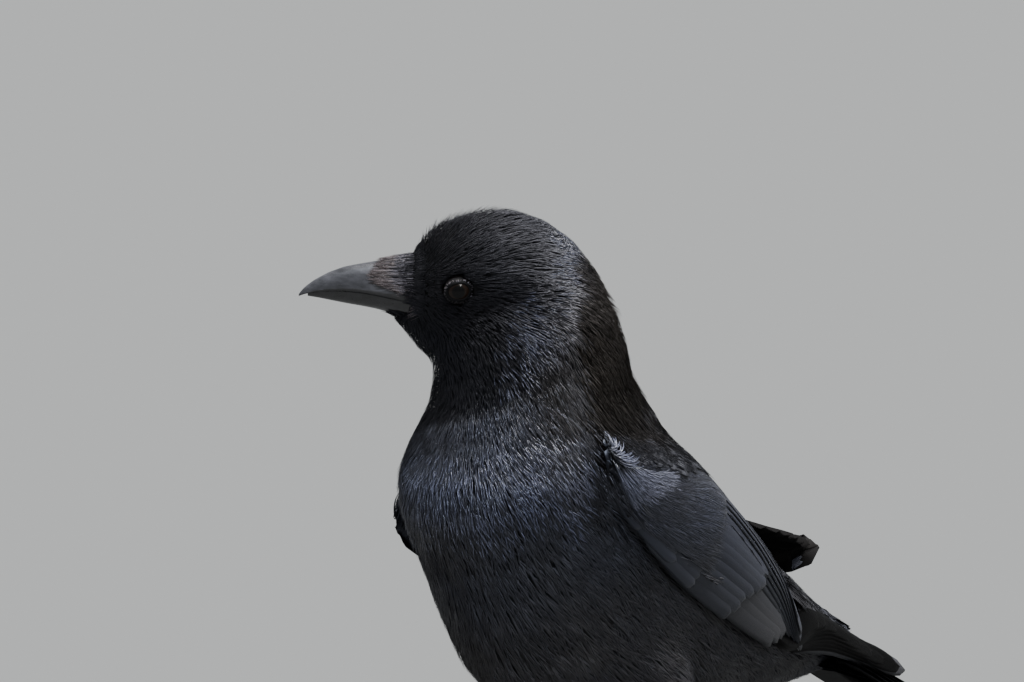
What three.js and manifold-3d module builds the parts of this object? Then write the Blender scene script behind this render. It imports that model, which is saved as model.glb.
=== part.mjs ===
// A life-size carrion crow (Corvus corone), standing, its head turned to its right.
// Millimetres, +Z up. The body faces -Y, the tail points to +Y and the bird's left is +X.
// Every solid carries its plumage, so the outlines run out to the feather tips.
import * as THREE from "three";
import { mergeVertices } from "three/addons/utils/BufferGeometryUtils.js";
import Module from "manifold-3d";

const wasm = await Module();
wasm.setup();

// ---------------------------------------------------------------- driving dimensions
const GAP = 0.3; // clearance between neighbouring solids
const HEAD_YAW = THREE.MathUtils.degToRad(55); // head turned from straight ahead to the bird's right
const NECK_Y = 14; // the neck's axis, where the head turns, along Y
const CROWN_Z = 295; // top of the head over the floor
const BILL_REACH = 93.6; // bill tip, ahead of the neck's axis
const FACE_FRONT = 45; // front of the face feathers, ahead of the neck's axis
const GAPE_Z = 262.5; // line between the mandibles, at its highest
const EYE_AHEAD = 29.4;
const EYE_Z = 264.7;
const EYEBALL_RADIUS = 6;
const EYE_SOCKET_DEPTH = 4.6; // the eyeball's centre, under the face feathers
const BODY_HALF_WIDTH = 47; // breast and flank, without the wings
const TAIL_LENGTH = 186;
const TAIL_PITCH = THREE.MathUtils.degToRad(25);
const TAIL_ROLL = THREE.MathUtils.degToRad(8); // its right side up
const RECTRIX_PAIRS = 6;
const RECTRIX_WIDTH = 21;
const RECTRIX_THICKNESS = 1.3;
const FOOT_X = 27; // half the stance
const FOOT_Y = 59; // the tarsus above the floor, along Y
const TARSUS_LENGTH = 58;
const TARSUS_LEAN = THREE.MathUtils.degToRad(20); // ankle behind the foot
const TARSUS_RADIUS = 2.7;
const TOE_RADIUS = 2.9;
const TOE_FLAT = 0.5; // depth cut from the sole to seat it on the floor
const RIGHT_WING_DROP = 25; // the right wing is held loosely: lower at its bend,
const RIGHT_WING_OUT = 0.6; // further out and forward there,
const RIGHT_WING_AHEAD = 10;
const RIGHT_WING_RISE = 22.5; // its secondaries' ends higher,
const RIGHT_WING_REACH = 29.5; // further back
const RIGHT_WING_TUCK = 18; // and nearer the back's middle

// ---------------------------------------------------------------- helpers
const vec = (x, y, z) => new THREE.Vector3(x, y, z);
const UP = vec(0, 0, 1);

// Solid from a BufferGeometry with shared vertices merged.
function solid(geometry) {
  const bare = geometry.clone();
  bare.deleteAttribute("normal");
  bare.deleteAttribute("uv");
  const merged = mergeVertices(bare, 1e-4);
  return new wasm.Manifold(
    new wasm.Mesh({
      numProp: 3,
      vertProperties: new Float32Array(merged.attributes.position.array),
      triVerts: new Uint32Array(merged.index.array),
    }),
  );
}

// The largest of a solid's separate bodies.
function largest(shape) {
  return shape.decompose().reduce((a, b) => (a.volume() > b.volume() ? a : b));
}

function geometryOf(shape) {
  const mesh = shape.getMesh();
  const geometry = new THREE.BufferGeometry();
  geometry.setAttribute("position", new THREE.BufferAttribute(mesh.vertProperties, 3));
  geometry.setIndex(new THREE.BufferAttribute(mesh.triVerts, 1));
  const flat = geometry.toNonIndexed();
  flat.computeVertexNormals();
  return flat;
}

// Smooth interpolation (Catmull-Rom) of rows of numbers, with t from 0 to 1.
function along(rows, t) {
  const place = t * (rows.length - 1);
  const i = Math.min(Math.floor(place), rows.length - 2);
  const f = place - i;
  const row = (k) => rows[Math.max(0, Math.min(rows.length - 1, k))];
  return row(i).map((_, j) => {
    const [a, b, c, d] = [row(i - 1)[j], row(i)[j], row(i + 1)[j], row(i + 2)[j]];
    return b + 0.5 * f * (c - a + f * (2 * a - 5 * b + 4 * c - d + f * (3 * (b - c) + d - a)));
  });
}

// Closed skin over rings of points, each ring a loop, with a pole at each end.
function skinRings(rings) {
  const n = rings[0].length;
  const points = rings.flat();
  const first = points.push(middleOf(rings[0])) - 1;
  const last = points.push(middleOf(rings[rings.length - 1])) - 1;
  const index = [];
  const end = (rings.length - 1) * n;
  for (let j = 0; j < n; j += 1) {
    const k = (j + 1) % n;
    for (let i = 0; i < rings.length - 1; i += 1) {
      const [a, b, c, d] = [i * n + j, i * n + k, (i + 1) * n + k, (i + 1) * n + j];
      index.push(a, b, c, a, c, d);
    }
    index.push(first, k, j, last, end + j, end + k);
  }
  const geometry = new THREE.BufferGeometry().setFromPoints(points);
  geometry.setIndex(index);
  const made = solid(geometry);
  if (made.volume() > 0) return made;
  for (let i = 0; i < index.length; i += 3) [index[i], index[i + 1]] = [index[i + 1], index[i]];
  geometry.setIndex(index);
  return solid(geometry);
}

// Loft of oval sections. section(t) gives its centre, its half side and half up vectors, and
// pinch, which narrows its top, or turn, the angle of those vectors from where the rings'
// points start, so that a twisting loft keeps straight edges; grow fattens it evenly.
function loft(section, steps, around, grow = 0) {
  const rings = [];
  for (let i = 0; i <= steps; i += 1) {
    const { centre, side, up, pinch = 0, turn = 0 } = section(i / steps);
    const wide = side.length() + grow;
    const tall = up.length() + grow;
    const across = side.clone().normalize();
    const along = up.clone().normalize();
    const ring = [];
    for (let j = 0; j < around; j += 1) {
      const angle = (2 * Math.PI * j) / around - turn;
      const [c, s] = [Math.cos(angle), Math.sin(angle)];
      const reach = turn ? (wide * tall) / Math.hypot(tall * c, wide * s) : 0;
      const x = turn ? reach * c : wide * c * (1 - pinch * s);
      const y = turn ? reach * s : tall * s;
      ring.push(centre.clone().addScaledVector(across, x).addScaledVector(along, y));
    }
    rings.push(ring);
  }
  return skinRings(lengthened(rings, grow));
}

const middleOf = (ring) => ring.reduce((s, p) => s.add(p), vec(0, 0, 0)).divideScalar(ring.length);

// Moves the first and last rings outwards, so that a grown solid is longer too.
function lengthened(rings, grow) {
  const last = rings.length - 1;
  for (const [end, next] of [[0, 1], [last, last - 1]]) {
    const out = middleOf(rings[end]).sub(middleOf(rings[next])).setLength(grow);
    rings[end].forEach((point) => point.add(out));
  }
  return rings;
}

// A half space's block: everything on the side of the plane that normal points to.
function block(point, normal, size = 900) {
  const box = new THREE.BoxGeometry(size, size, size);
  box.translate(0, 0, size / 2);
  const turn = new THREE.Quaternion().setFromUnitVectors(UP, normal.clone().normalize());
  box.applyQuaternion(turn);
  box.translate(point.x, point.y, point.z);
  return solid(box);
}

// Parts a solid at a plane into [behind, ahead], leaving the gap between them.
function part(shape, point, normal) {
  const n = normal.clone().normalize();
  const ahead = block(point.clone().addScaledVector(n, GAP / 2), n);
  const behind = block(point.clone().addScaledVector(n, -GAP / 2), n.clone().negate());
  return [shape.intersect(behind), shape.intersect(ahead)];
}

// ---------------------------------------------------------------- head frame
const FORWARD = vec(-Math.sin(HEAD_YAW), -Math.cos(HEAD_YAW), 0);
const HEAD_LEFT = vec(Math.cos(HEAD_YAW), -Math.sin(HEAD_YAW), 0);
function headPoint(ahead, left, z) {
  return vec(0, NECK_Y, z).addScaledVector(FORWARD, ahead).addScaledVector(HEAD_LEFT, left);
}

// ---------------------------------------------------------------- flesh: head, neck, trunk
// Head sections, from the nape to the face: ahead of the neck's axis, top, bottom, half width.
const HEAD = [
  [-29, CROWN_Z - 31, CROWN_Z - 52, 11],
  [-23.5, CROWN_Z - 22, CROWN_Z - 62, 22],
  [-12, CROWN_Z - 9, CROWN_Z - 68, 28.5],
  [2, CROWN_Z - 1.8, CROWN_Z - 66, 28],
  [14, CROWN_Z, CROWN_Z - 62, 26],
  [24, CROWN_Z - 1.5, CROWN_Z - 61, 24],
  [32, CROWN_Z - 4, CROWN_Z - 61, 21],
  [38.5, CROWN_Z - 6.5, CROWN_Z - 60.5, 17.5],
  [43, CROWN_Z - 11, CROWN_Z - 58.5, 13.8],
  [FACE_FRONT + 1.8, CROWN_Z - 17.5, CROWN_Z - 54.5, 10],
  [FACE_FRONT + 6, CROWN_Z - 37, CROWN_Z - 48.5, 5.4],
  [FACE_FRONT + 11, CROWN_Z - 41.5, CROWN_Z - 43.8, 2],
];
function headSection(t) {
  const [ahead, top, bottom, half] = along(HEAD, t);
  return {
    centre: headPoint(ahead, 0, (top + bottom) / 2),
    side: HEAD_LEFT.clone().multiplyScalar(half),
    up: UP.clone().multiplyScalar((top - bottom) / 2),
    pinch: 0.1,
  };
}

// Neck sections, upwards: height, centre ahead of the axis, half length, half width, and the
// share of the head's turn that it has taken up.
const NECK = [
  [206, 0, 50, 44, 0],
  [218, 0, 44.5, 39.3, 0],
  [230, 0, 41, 36.6, 0.35],
  [241, 2, 40, 34.5, 0.8],
  [252, 3, 37, 32, 1],
  [263, 2, 31, 27, 1],
  [272, 0, 23, 19, 1],
];
function neckSection(t) {
  const [z, ahead, length, half, turned] = along(NECK, t);
  const yaw = HEAD_YAW * turned;
  return {
    centre: vec(0, NECK_Y, z).addScaledVector(FORWARD, ahead),
    side: vec(Math.cos(yaw), -Math.sin(yaw), 0).multiplyScalar(half),
    up: vec(-Math.sin(yaw), -Math.cos(yaw), 0).multiplyScalar(length),
    turn: yaw + 1e-6,
  };
}

// Trunk sections, from the neck's root to under the tail: back (y, z), belly (y, z), half width.
const TRUNK = [
  [58, 229, -26, 226, 34],
  [70, 214, -40, 206, BODY_HALF_WIDTH - 4],
  [85, 198, -53.2, 187, BODY_HALF_WIDTH - 0.5],
  [102, 181, -47, 167, BODY_HALF_WIDTH],
  [121, 165, -31, 139, BODY_HALF_WIDTH],
  [141, 153, -13, 108, BODY_HALF_WIDTH - 2],
  [156, 146, 20, 86, BODY_HALF_WIDTH - 6],
  [168, 138, 70, 81, BODY_HALF_WIDTH - 11],
  [182, 129, 112, 80, BODY_HALF_WIDTH - 15],
  [194, 121, 149, 79.5, BODY_HALF_WIDTH - 21],
  [206, 114, 177, 80, BODY_HALF_WIDTH - 28],
  [222, 106, 206, 81, BODY_HALF_WIDTH - 36],
  [238, 98.5, 233, 85, BODY_HALF_WIDTH - 40],
];
function trunkSection(t) {
  const [backY, backZ, bellyY, bellyZ, half] = along(TRUNK, t);
  const back = vec(0, backY, backZ);
  const belly = vec(0, bellyY, bellyZ);
  return {
    centre: back.clone().add(belly).multiplyScalar(0.5),
    side: vec(half, 0, 0),
    up: back.clone().sub(belly).multiplyScalar(0.5),
  };
}

const trunkSolid = (grow) => loft(trunkSection, 19, 24, grow);
const neckSolid = (grow) => loft(neckSection, 6, 20, grow);
const headSolid = (grow) => loft(headSection, 13, 18, grow);
const bodySolid = (grow) => trunkSolid(grow).add(neckSolid(grow)).add(headSolid(grow));

const flesh = bodySolid(0);
const clearance = bodySolid(1.6 * GAP);

// ---------------------------------------------------------------- eyes
// Half the head's width at a distance ahead of the neck's axis, found by halving.
function headHalfWidth(ahead) {
  let [low, high] = [0, 1];
  for (let i = 0; i < 20; i += 1) {
    const t = (low + high) / 2;
    if (along(HEAD, t)[0] < ahead) low = t;
    else high = t;
  }
  return along(HEAD, low)[3];
}

function eyeball(side, radius) {
  const sphere = new THREE.SphereGeometry(radius, 12, 7);
  const left = side * (headHalfWidth(EYE_AHEAD) - EYE_SOCKET_DEPTH);
  const centre = headPoint(EYE_AHEAD, left, EYE_Z);
  sphere.rotateX(Math.PI / 2);
  sphere.rotateZ(HEAD_YAW);
  sphere.translate(centre.x, centre.y, centre.z);
  return solid(sphere);
}

// ---------------------------------------------------------------- bill
// Sections from inside the face to the tip: ahead, ridge height, edge height, half width.
const BILL_UPPER = [
  [36, 275.4, GAPE_Z - 6, 8.5],
  [46, 276.8, GAPE_Z - 5, 8.6],
  [54, 275.7, GAPE_Z - 3.1, 8],
  [62, 274.2, GAPE_Z - 1.5, 7.1],
  [69, 273, GAPE_Z - 0.4, 6.2],
  [76, 271.6, GAPE_Z, 5.2],
  [83.5, 268.6, GAPE_Z - 0.2, 4],
  [89.5, 264.9, GAPE_Z - 1.2, 2.6],
  [92.4, 262.2, GAPE_Z - 2.2, 1.4],
  [BILL_REACH, 260.5, GAPE_Z - 2.8, 0.5],
];
const BILL_LOWER = [
  [36, GAPE_Z - 6, 250.8, 7.8],
  [46, GAPE_Z - 5, 251.4, 7.6],
  [54, GAPE_Z - 3.1, 252.6, 6.8],
  [62, GAPE_Z - 1.5, 254.7, 5.9],
  [69, GAPE_Z - 0.4, 256.1, 5],
  [76, GAPE_Z, 257.3, 4],
  [83.5, GAPE_Z - 0.2, 258.9, 2.8],
  [90, GAPE_Z - 1.7, 260, 1],
];
// A mandible's section is a half oval: round along its ridge, flat along its edge.
function mandible(rows, steps, ridgeUp) {
  const rings = [];
  const around = 11;
  for (let i = 0; i <= steps; i += 1) {
    const row = along(rows, i / steps);
    const [ahead, half] = [row[0], row[3]];
    const edge = (ridgeUp ? row[2] : row[1]) + (ridgeUp ? GAP / 2 : -GAP / 2);
    const ridge = ridgeUp ? Math.max(row[1], edge + 0.5) : Math.min(row[2], edge - 0.5);
    const ring = [];
    for (let j = 0; j < around; j += 1) {
      const angle = (Math.PI * j) / (around - 1);
      const rise = Math.sin(angle) ** 0.9;
      ring.push(headPoint(ahead, half * Math.cos(angle), edge + (ridge - edge) * rise));
    }
    rings.push(ring);
  }
  return skinRings(rings);
}

// ---------------------------------------------------------------- wings
// The folded wing's outer surface hangs between an upper and a lower edge.
// Rows for the arm and secondaries: upper edge x, y, z; lower edge x, y, z; bulge; thickness.
const WING_ARM = [
  [44, 1, 209, 48, -1, 190, 2, 8],
  [39, 11, 213, 52, 5, 179, 6, 13],
  [32, 43, 209, 54, 29, 162, 13, 16],
  [28, 71, 198, 53, 57, 146, 16, 17],
  [24, 98, 176, 50, 87, 132, 16, 16],
  [20, 125, 159.5, 45, 113, 121, 13, 13],
  [17, 150, 143, 39, 137, 112, 8, 9],
  [15, 170, 126, 32, 158, 105, 4, 5],
  [18, 186, 111, 23, 180, 103, 1, 2.4],
];
// Primaries: they come out from under the secondaries and run to the wing tip.
const WING_HAND = [
  [22, 130, 148, 36, 126, 115, 5, 4],
  [20, 150, 136, 34, 146, 107, 4, 4],
  [17, 178, 121, 28, 176, 99, 3, 3.4],
  [14, 208, 105.8, 23, 206, 91.5, 2, 3],
  [12, 236, 93.5, 18, 235, 84, 1.2, 2.6],
  [12, 254, 85.2, 15.5, 254, 79, 0.6, 2.2],
  [13, 266, 79, 14, 266, 76, 0.2, 1.8],
];
// Both edges, top to bottom outside and back inside, make a section's loop.
function wingSolid(rows, steps, across, grow = 0) {
  const rings = [];
  for (let i = 0; i <= steps; i += 1) {
    const row = along(rows, i / steps);
    const upper = vec(row[0], row[1], row[2]);
    const lower = vec(row[3], row[4], row[5]);
    const [bulge, thickness] = [row[6], row[7]];
    const beyond = lower.clone().sub(upper).setLength(grow);
    upper.sub(beyond);
    lower.add(beyond);
    const down = lower.clone().sub(upper);
    const out = vec(-down.z, 0, down.x).normalize();
    const outer = [];
    const inner = [];
    for (let j = 0; j <= across; j += 1) {
      const f = j / across;
      const swell = Math.sin(Math.PI * f);
      const base = upper.clone().addScaledVector(down, f);
      const depth = thickness * (0.35 + 0.65 * swell);
      outer.push(base.clone().addScaledVector(out, bulge * swell + grow));
      inner.push(base.clone().addScaledVector(out, bulge * swell - depth - grow));
    }
    rings.push([...outer, ...inner.reverse()]);
  }
  return skinRings(lengthened(rings, grow));
}

// The right wing's arm, as rows of the left one's side before it is mirrored.
const RIGHT_WING_ARM = WING_ARM.map((row, i) => {
  const back = i / (WING_ARM.length - 1);
  const late = back ** 2;
  const early = 1 - back;
  const dx = RIGHT_WING_OUT * early - RIGHT_WING_TUCK * late;
  const dy = RIGHT_WING_REACH * late - RIGHT_WING_AHEAD * early;
  const dz = RIGHT_WING_RISE * late - RIGHT_WING_DROP * early ** 1.5;
  const [ux, uy, uz, lx, ly, lz, bulge, thickness] = row;
  return [ux + dx, uy + dy, uz + dz, lx + dx, ly + dy, lz + dz, bulge, thickness];
});

// ---------------------------------------------------------------- tail
const TAIL_ROOT = vec(0, 138, 133);
function rectrix(place, grow) {
  // place runs from -5.5 to 5.5 across the fan; the middle feathers lie on top.
  const away = Math.abs(place);
  const length = TAIL_LENGTH - 0.35 * away * away + grow;
  const half = RECTRIX_WIDTH / 2 + grow;
  const outline = new THREE.Shape();
  outline.moveTo(-half * 0.55, 0);
  outline.lineTo(-half, length * 0.45);
  outline.lineTo(-half, length - half * 0.8);
  outline.quadraticCurveTo(-half * 0.9, length - 1, 0, length);
  outline.quadraticCurveTo(half * 0.9, length - 1, half, length - half * 0.8);
  outline.lineTo(half, length * 0.45);
  outline.lineTo(half * 0.55, 0);
  outline.closePath();
  const slab = new THREE.ExtrudeGeometry(outline, {
    depth: RECTRIX_THICKNESS + 2 * grow,
    bevelEnabled: false,
    curveSegments: 2,
  });
  slab.rotateY(THREE.MathUtils.degToRad(1.6 * place));
  slab.rotateZ(THREE.MathUtils.degToRad(-0.6 * place));
  slab.translate(0.9 * place, 0, -0.62 * away - grow);
  return solid(slab);
}
function tailSolid(grow) {
  const outermost = RECTRIX_PAIRS - 0.5;
  let tail = rectrix(-outermost, grow);
  for (let place = 1 - outermost; place <= outermost; place += 1) tail = tail.add(rectrix(place, grow));
  const [pitch, roll] = [TAIL_PITCH, TAIL_ROLL].map(THREE.MathUtils.radToDeg);
  return tail
    .rotate([0, roll, 0])
    .rotate([-pitch, 0, 0])
    .translate(TAIL_ROOT.toArray());
}

// ---------------------------------------------------------------- legs and feet
// A round-section limb along points, each row x, y, z, radius.
function limb(rows, steps, around, grow = 0) {
  const rings = [];
  for (let i = 0; i <= steps; i += 1) {
    const t = i / steps;
    const here = along(rows, t);
    const before = along(rows, Math.max(0, t - 0.01));
    const after = along(rows, Math.min(1, t + 0.01));
    const tangent = vec(after[0] - before[0], after[1] - before[1], after[2] - before[2]).normalize();
    const across = Math.abs(tangent.z) > 0.8 ? vec(1, 0, 0) : UP.clone().cross(tangent).normalize();
    const other = tangent.clone().cross(across).normalize();
    across.copy(other.clone().cross(tangent));
    const ring = [];
    for (let j = 0; j < around; j += 1) {
      const angle = (2 * Math.PI * (j + 0.5)) / around;
      const radius = here[3] + grow;
      ring.push(
        vec(here[0], here[1], here[2])
          .addScaledVector(across, radius * Math.cos(angle))
          .addScaledVector(other, radius * Math.sin(angle)),
      );
    }
    rings.push(ring);
  }
  return skinRings(rings);
}

const ANKLE_RISE = TARSUS_LENGTH * Math.cos(TARSUS_LEAN);
const ANKLE_BACK = TARSUS_LENGTH * Math.sin(TARSUS_LEAN);
const ANKLE_Z = 6 + ANKLE_RISE;
const ANKLE_Y = FOOT_Y + ANKLE_BACK;
// Each toe: its heading from straight ahead (towards the outside), its length and its knuckles.
const TOES = {
  middle: { heading: 2, length: 39, knuckles: 3 },
  inner: { heading: -27, length: 27, knuckles: 2 },
  outer: { heading: 29, length: 29, knuckles: 3 },
  hallux: { heading: 176, length: 21, knuckles: 1 },
};
const CLAW_LENGTH = { inner: 12, middle: 13, outer: 11.5, hallux: 15 };

function toePoint(side, toe, reach, z) {
  const angle = THREE.MathUtils.degToRad(TOES[toe].heading);
  return [
    side * (FOOT_X + Math.sin(angle) * (reach + 2)),
    FOOT_Y - Math.cos(angle) * (reach + 2),
    z,
  ];
}
function toeSolid(side, toe, grow = 0) {
  const { length, knuckles } = TOES[toe];
  const rows = [[...toePoint(side, toe, -1, 5.2), 3]];
  const stations = 2 * knuckles + 1;
  for (let i = 1; i <= stations; i += 1) {
    const swell = i % 2 ? 0.35 : -0.15;
    const taper = 1 - 0.32 * (i / stations);
    const radius = (TOE_RADIUS + swell) * taper;
    rows.push([...toePoint(side, toe, (length * i) / stations, radius - TOE_FLAT), radius]);
  }
  return limb(rows, stations + 1, 7, grow);
}
function clawSolid(side, toe) {
  const start = TOES[toe].length + 0.6;
  const reach = CLAW_LENGTH[toe];
  const rows = [
    [...toePoint(side, toe, start, 2.6), 1.9],
    [...toePoint(side, toe, start + reach * 0.35, 3.5), 1.75],
    [...toePoint(side, toe, start + reach * 0.7, 2.9), 1.2],
    [...toePoint(side, toe, start + reach, 0.7), 0.5],
  ];
  return limb(rows, 4, 6);
}
function tarsusSolid(side, grow = 0) {
  const x = side * FOOT_X;
  const rows = [
    [x, FOOT_Y, 4.6, 4.2],
    [x, FOOT_Y + 2, 10, 3.7],
    [x, FOOT_Y + ANKLE_BACK * 0.35, 6 + ANKLE_RISE * 0.35, TARSUS_RADIUS],
    [x, FOOT_Y + ANKLE_BACK * 0.7, 6 + ANKLE_RISE * 0.7, TARSUS_RADIUS],
    [x, ANKLE_Y - 1, ANKLE_Z - 4, 3.7],
    [x, ANKLE_Y, ANKLE_Z + 1, 4],
    [x, ANKLE_Y - 3, ANKLE_Z + 9, 3],
  ];
  return limb(rows, 9, 8, grow);
}
function thighSolid(side, grow = 0) {
  const x = side * FOOT_X;
  const rows = [
    [x, ANKLE_Y - 1, ANKLE_Z + 2, 5.2],
    [x + side * 0.5, ANKLE_Y - 6, ANKLE_Z + 13, 9.5],
    [x + side * 0.5, ANKLE_Y - 13, ANKLE_Z + 27, 14.5],
    [x, ANKLE_Y - 21, ANKLE_Z + 42, 18],
    [x - side * 3, ANKLE_Y - 29, ANKLE_Z + 56, 17],
  ];
  return limb(rows, 7, 12, grow);
}

// ---------------------------------------------------------------- the bird
const COLOURS = {
  plumage: [0x15161b, 0.5],
  sheen: [0x1b1f2c, 0.4],
  bill: [0x34363b, 0.38],
  eye: [0x120c09, 0.08],
  leg: [0x1c1b1c, 0.6],
  claw: [0x161516, 0.4],
};
const crow = new THREE.Group();
function addNode(name, shape, look) {
  const [color, roughness] = COLOURS[look];
  const material = new THREE.MeshStandardMaterial({ color, roughness, metalness: 0 });
  const mesh = new THREE.Mesh(geometryOf(largest(shape)), material);
  mesh.name = name;
  crow.add(mesh);
}

// Flesh: cut at the throat, at the neck's root and ahead of the tail.
const throat = headPoint(26, 0, 241);
const nape = headPoint(-32, 0, 266);
const throatNormal = nape.clone().sub(throat).cross(HEAD_LEFT);
if (throatNormal.z < 0) throatNormal.negate();
const [belowHead, headRaw] = part(flesh, throat, throatNormal);
const [body, neck] = part(belowHead, vec(0, 0, 213), UP);
const [trunk, rump] = part(body, vec(0, 166, 130), vec(0, 0.88, -0.47));

let head = headRaw;
for (const [name, side] of [["eye_left", 1], ["eye_right", -1]]) {
  head = head.subtract(eyeball(side, EYEBALL_RADIUS + GAP));
  addNode(name, eyeball(side, EYEBALL_RADIUS), "eye");
}
const upper = mandible(BILL_UPPER, 11, true).subtract(clearance);
const lower = mandible(BILL_LOWER, 9, false).subtract(clearance);
addNode("head", head, "plumage");
addNode("neck", neck, "plumage");
addNode("bill_upper", upper, "bill");
addNode("bill_lower", lower, "bill");

const tail = tailSolid(0);
const tailRoom = tailSolid(GAP);
addNode("trunk", trunk, "plumage");
addNode("rump", rump, "plumage");
addNode("tail", tail.subtract(clearance), "plumage");

const asLeft = (shape) => shape;
const asRight = (shape) => shape.mirror([1, 0, 0]);
for (const [suffix, rows, place] of [["left", WING_ARM, asLeft], ["right", RIGHT_WING_ARM, asRight]]) {
  const arm = place(wingSolid(rows, 14, 6)).subtract(clearance).subtract(tailRoom);
  const armRoom = place(wingSolid(rows, 14, 6, GAP));
  const hand = place(wingSolid(WING_HAND, 8, 4)).subtract(armRoom).subtract(clearance);
  const [coverts, secondaries] = part(arm, vec(0, 78, 165), vec(0, 0.9, -0.1));
  addNode(`wing_${suffix}_coverts`, coverts, "sheen");
  addNode(`wing_${suffix}_secondaries`, secondaries, "sheen");
  addNode(`wing_${suffix}_primaries`, hand.subtract(tailRoom), "sheen");
}

const floor = block(vec(0, 0, 0), UP);
for (const [suffix, side] of [["left", 1], ["right", -1]]) {
  const tarsusRoom = tarsusSolid(side, GAP);
  addNode(`thigh_${suffix}`, thighSolid(side).subtract(clearance).subtract(tarsusRoom), "plumage");
  addNode(`tarsus_${suffix}`, tarsusSolid(side).intersect(block(vec(0, 0, 1.2), UP)), "leg");
  let taken = tarsusRoom;
  for (const toe of Object.keys(TOES)) {
    addNode(`toe_${suffix}_${toe}`, toeSolid(side, toe).subtract(taken).intersect(floor), "leg");
    taken = taken.add(toeSolid(side, toe, GAP));
    const claw = clawSolid(side, toe).subtract(taken).intersect(floor);
    addNode(`claw_${suffix}_${toe}`, claw, "claw");
  }
}

// The origin is the middle of the whole bird's box, on the floor.
const box = new THREE.Box3().setFromObject(crow);
const middle = box.getCenter(vec(0, 0, 0));
crow.position.set(-middle.x, -middle.y, -box.min.z);

export default crow;
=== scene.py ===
"""A carrion crow, standing, at life size: skin, plumage, bill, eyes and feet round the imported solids.

Lengths named in millimetres are multiplied by MM where they are used, and all else is in metres.
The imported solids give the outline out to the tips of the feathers, so the skin lies inside them
and each feather grows from the skin and ends at the surface of its solid.
"""

import math

import bmesh
import bpy
import numpy as np
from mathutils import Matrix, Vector
from mathutils.bvhtree import BVHTree
from mathutils.kdtree import KDTree


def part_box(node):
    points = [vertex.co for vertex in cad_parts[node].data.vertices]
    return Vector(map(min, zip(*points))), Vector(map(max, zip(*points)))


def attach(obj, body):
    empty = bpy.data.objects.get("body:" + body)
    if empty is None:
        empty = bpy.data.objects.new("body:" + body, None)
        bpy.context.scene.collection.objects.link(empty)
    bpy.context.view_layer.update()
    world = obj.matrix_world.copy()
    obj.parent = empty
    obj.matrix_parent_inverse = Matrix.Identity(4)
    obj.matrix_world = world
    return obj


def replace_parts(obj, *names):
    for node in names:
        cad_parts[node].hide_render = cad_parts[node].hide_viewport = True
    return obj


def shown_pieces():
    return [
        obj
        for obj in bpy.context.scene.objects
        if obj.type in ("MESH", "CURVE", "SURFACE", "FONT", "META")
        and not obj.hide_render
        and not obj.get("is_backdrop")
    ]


MM = 0.001
UP = np.array((0.0, 0.0, 1.0))
PATCH = 0.003  # how wide a feather's patch of the OFBake map is

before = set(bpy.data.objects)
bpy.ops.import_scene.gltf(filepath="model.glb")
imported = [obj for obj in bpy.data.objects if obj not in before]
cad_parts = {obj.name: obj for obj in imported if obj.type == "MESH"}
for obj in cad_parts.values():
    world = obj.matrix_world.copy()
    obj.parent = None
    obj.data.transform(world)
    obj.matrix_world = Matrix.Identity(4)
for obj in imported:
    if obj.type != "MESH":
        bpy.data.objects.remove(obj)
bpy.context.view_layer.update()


# ---------------------------------------------------------------- small helpers


def unit(v):
    return v / np.maximum(np.linalg.norm(v, axis=-1, keepdims=True), 1e-12)


def smooth(x, low, high):
    """0 below low, 1 above high, and an S between them."""
    t = np.clip((x - low) / (high - low), 0, 1)
    return t * t * (3 - 2 * t)


def bell(x, top, width):
    """1 where x is top, and less the farther it is from that."""
    return np.exp(-(((x - top) / width) ** 2))


def round_turns(count):
    """Angles evenly round a circle."""
    return np.linspace(0, 2 * math.pi, count, endpoint=False)


def mix(a, b, t):
    return a + (b - a) * t


def dot(a, b):
    return (a * b).sum(-1)


def flat_to(v, normal):
    """v with what it has along normal taken away, at length 1."""
    return unit(v - normal * dot(v, normal)[..., None])


def waves(points, size, seed):
    """A smooth wandering value from about -1 to 1, which turns over about a length size."""
    rng = np.random.default_rng(seed)
    total = 0
    for _ in range(7):
        way = unit(rng.normal(size=3)) * rng.uniform(0.6, 1.6) * 2 * math.pi / size
        total = total + np.sin(points @ way + rng.uniform(0, 2 * math.pi))
    return total / 2.6


def low_high(*nodes):
    corners = [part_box(n) for n in nodes]
    return np.min([c[0] for c in corners], 0), np.max([c[1] for c in corners], 0)


def middle(*nodes):
    low, high = low_high(*nodes)
    return (low + high) / 2


# ---------------------------------------------------------------- places in the frame

SIDES = {"left": 1.0, "right": -1.0}
EYES = {side: middle(f"eye_{side}") for side in SIDES}
BETWEEN_EYES = (EYES["left"] + EYES["right"]) / 2
HEAD_LEFT = unit(EYES["left"] - EYES["right"])
HEAD_AHEAD = np.cross(HEAD_LEFT, UP)
STAND = middle("tarsus_left", "tarsus_right") * (1, 1, 0)
EYE_RADIUS = 6.0
HIND = mix(*(end[1] for end in low_high("rump")), 0.5)  # from here the body narrows to the tail
FACE_FRONT = 15.6  # how far ahead of the eyes the feathers of the face end
BILL_BASE = BETWEEN_EYES + (HEAD_AHEAD * FACE_FRONT - UP * 1.0) * MM
NECK_SLOPE = math.atan2(25, 58)  # of the plane that parts head and neck
TAIL_LOW, TAIL_HIGH = low_high("tail")
TAIL_THICK = 0.02  # the tail slopes down by its height less this
TAIL_AXIS = unit((TAIL_HIGH - TAIL_LOW) * (0, 1, -1) + (0, 0, TAIL_THICK))


def in_head(points):
    """How far ahead of the eyes, to the head's left and above the eyes each point is, in mm."""
    from_eyes = (points - BETWEEN_EYES) / MM
    return from_eyes @ HEAD_AHEAD, from_eyes @ HEAD_LEFT, from_eyes[..., 2]


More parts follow.
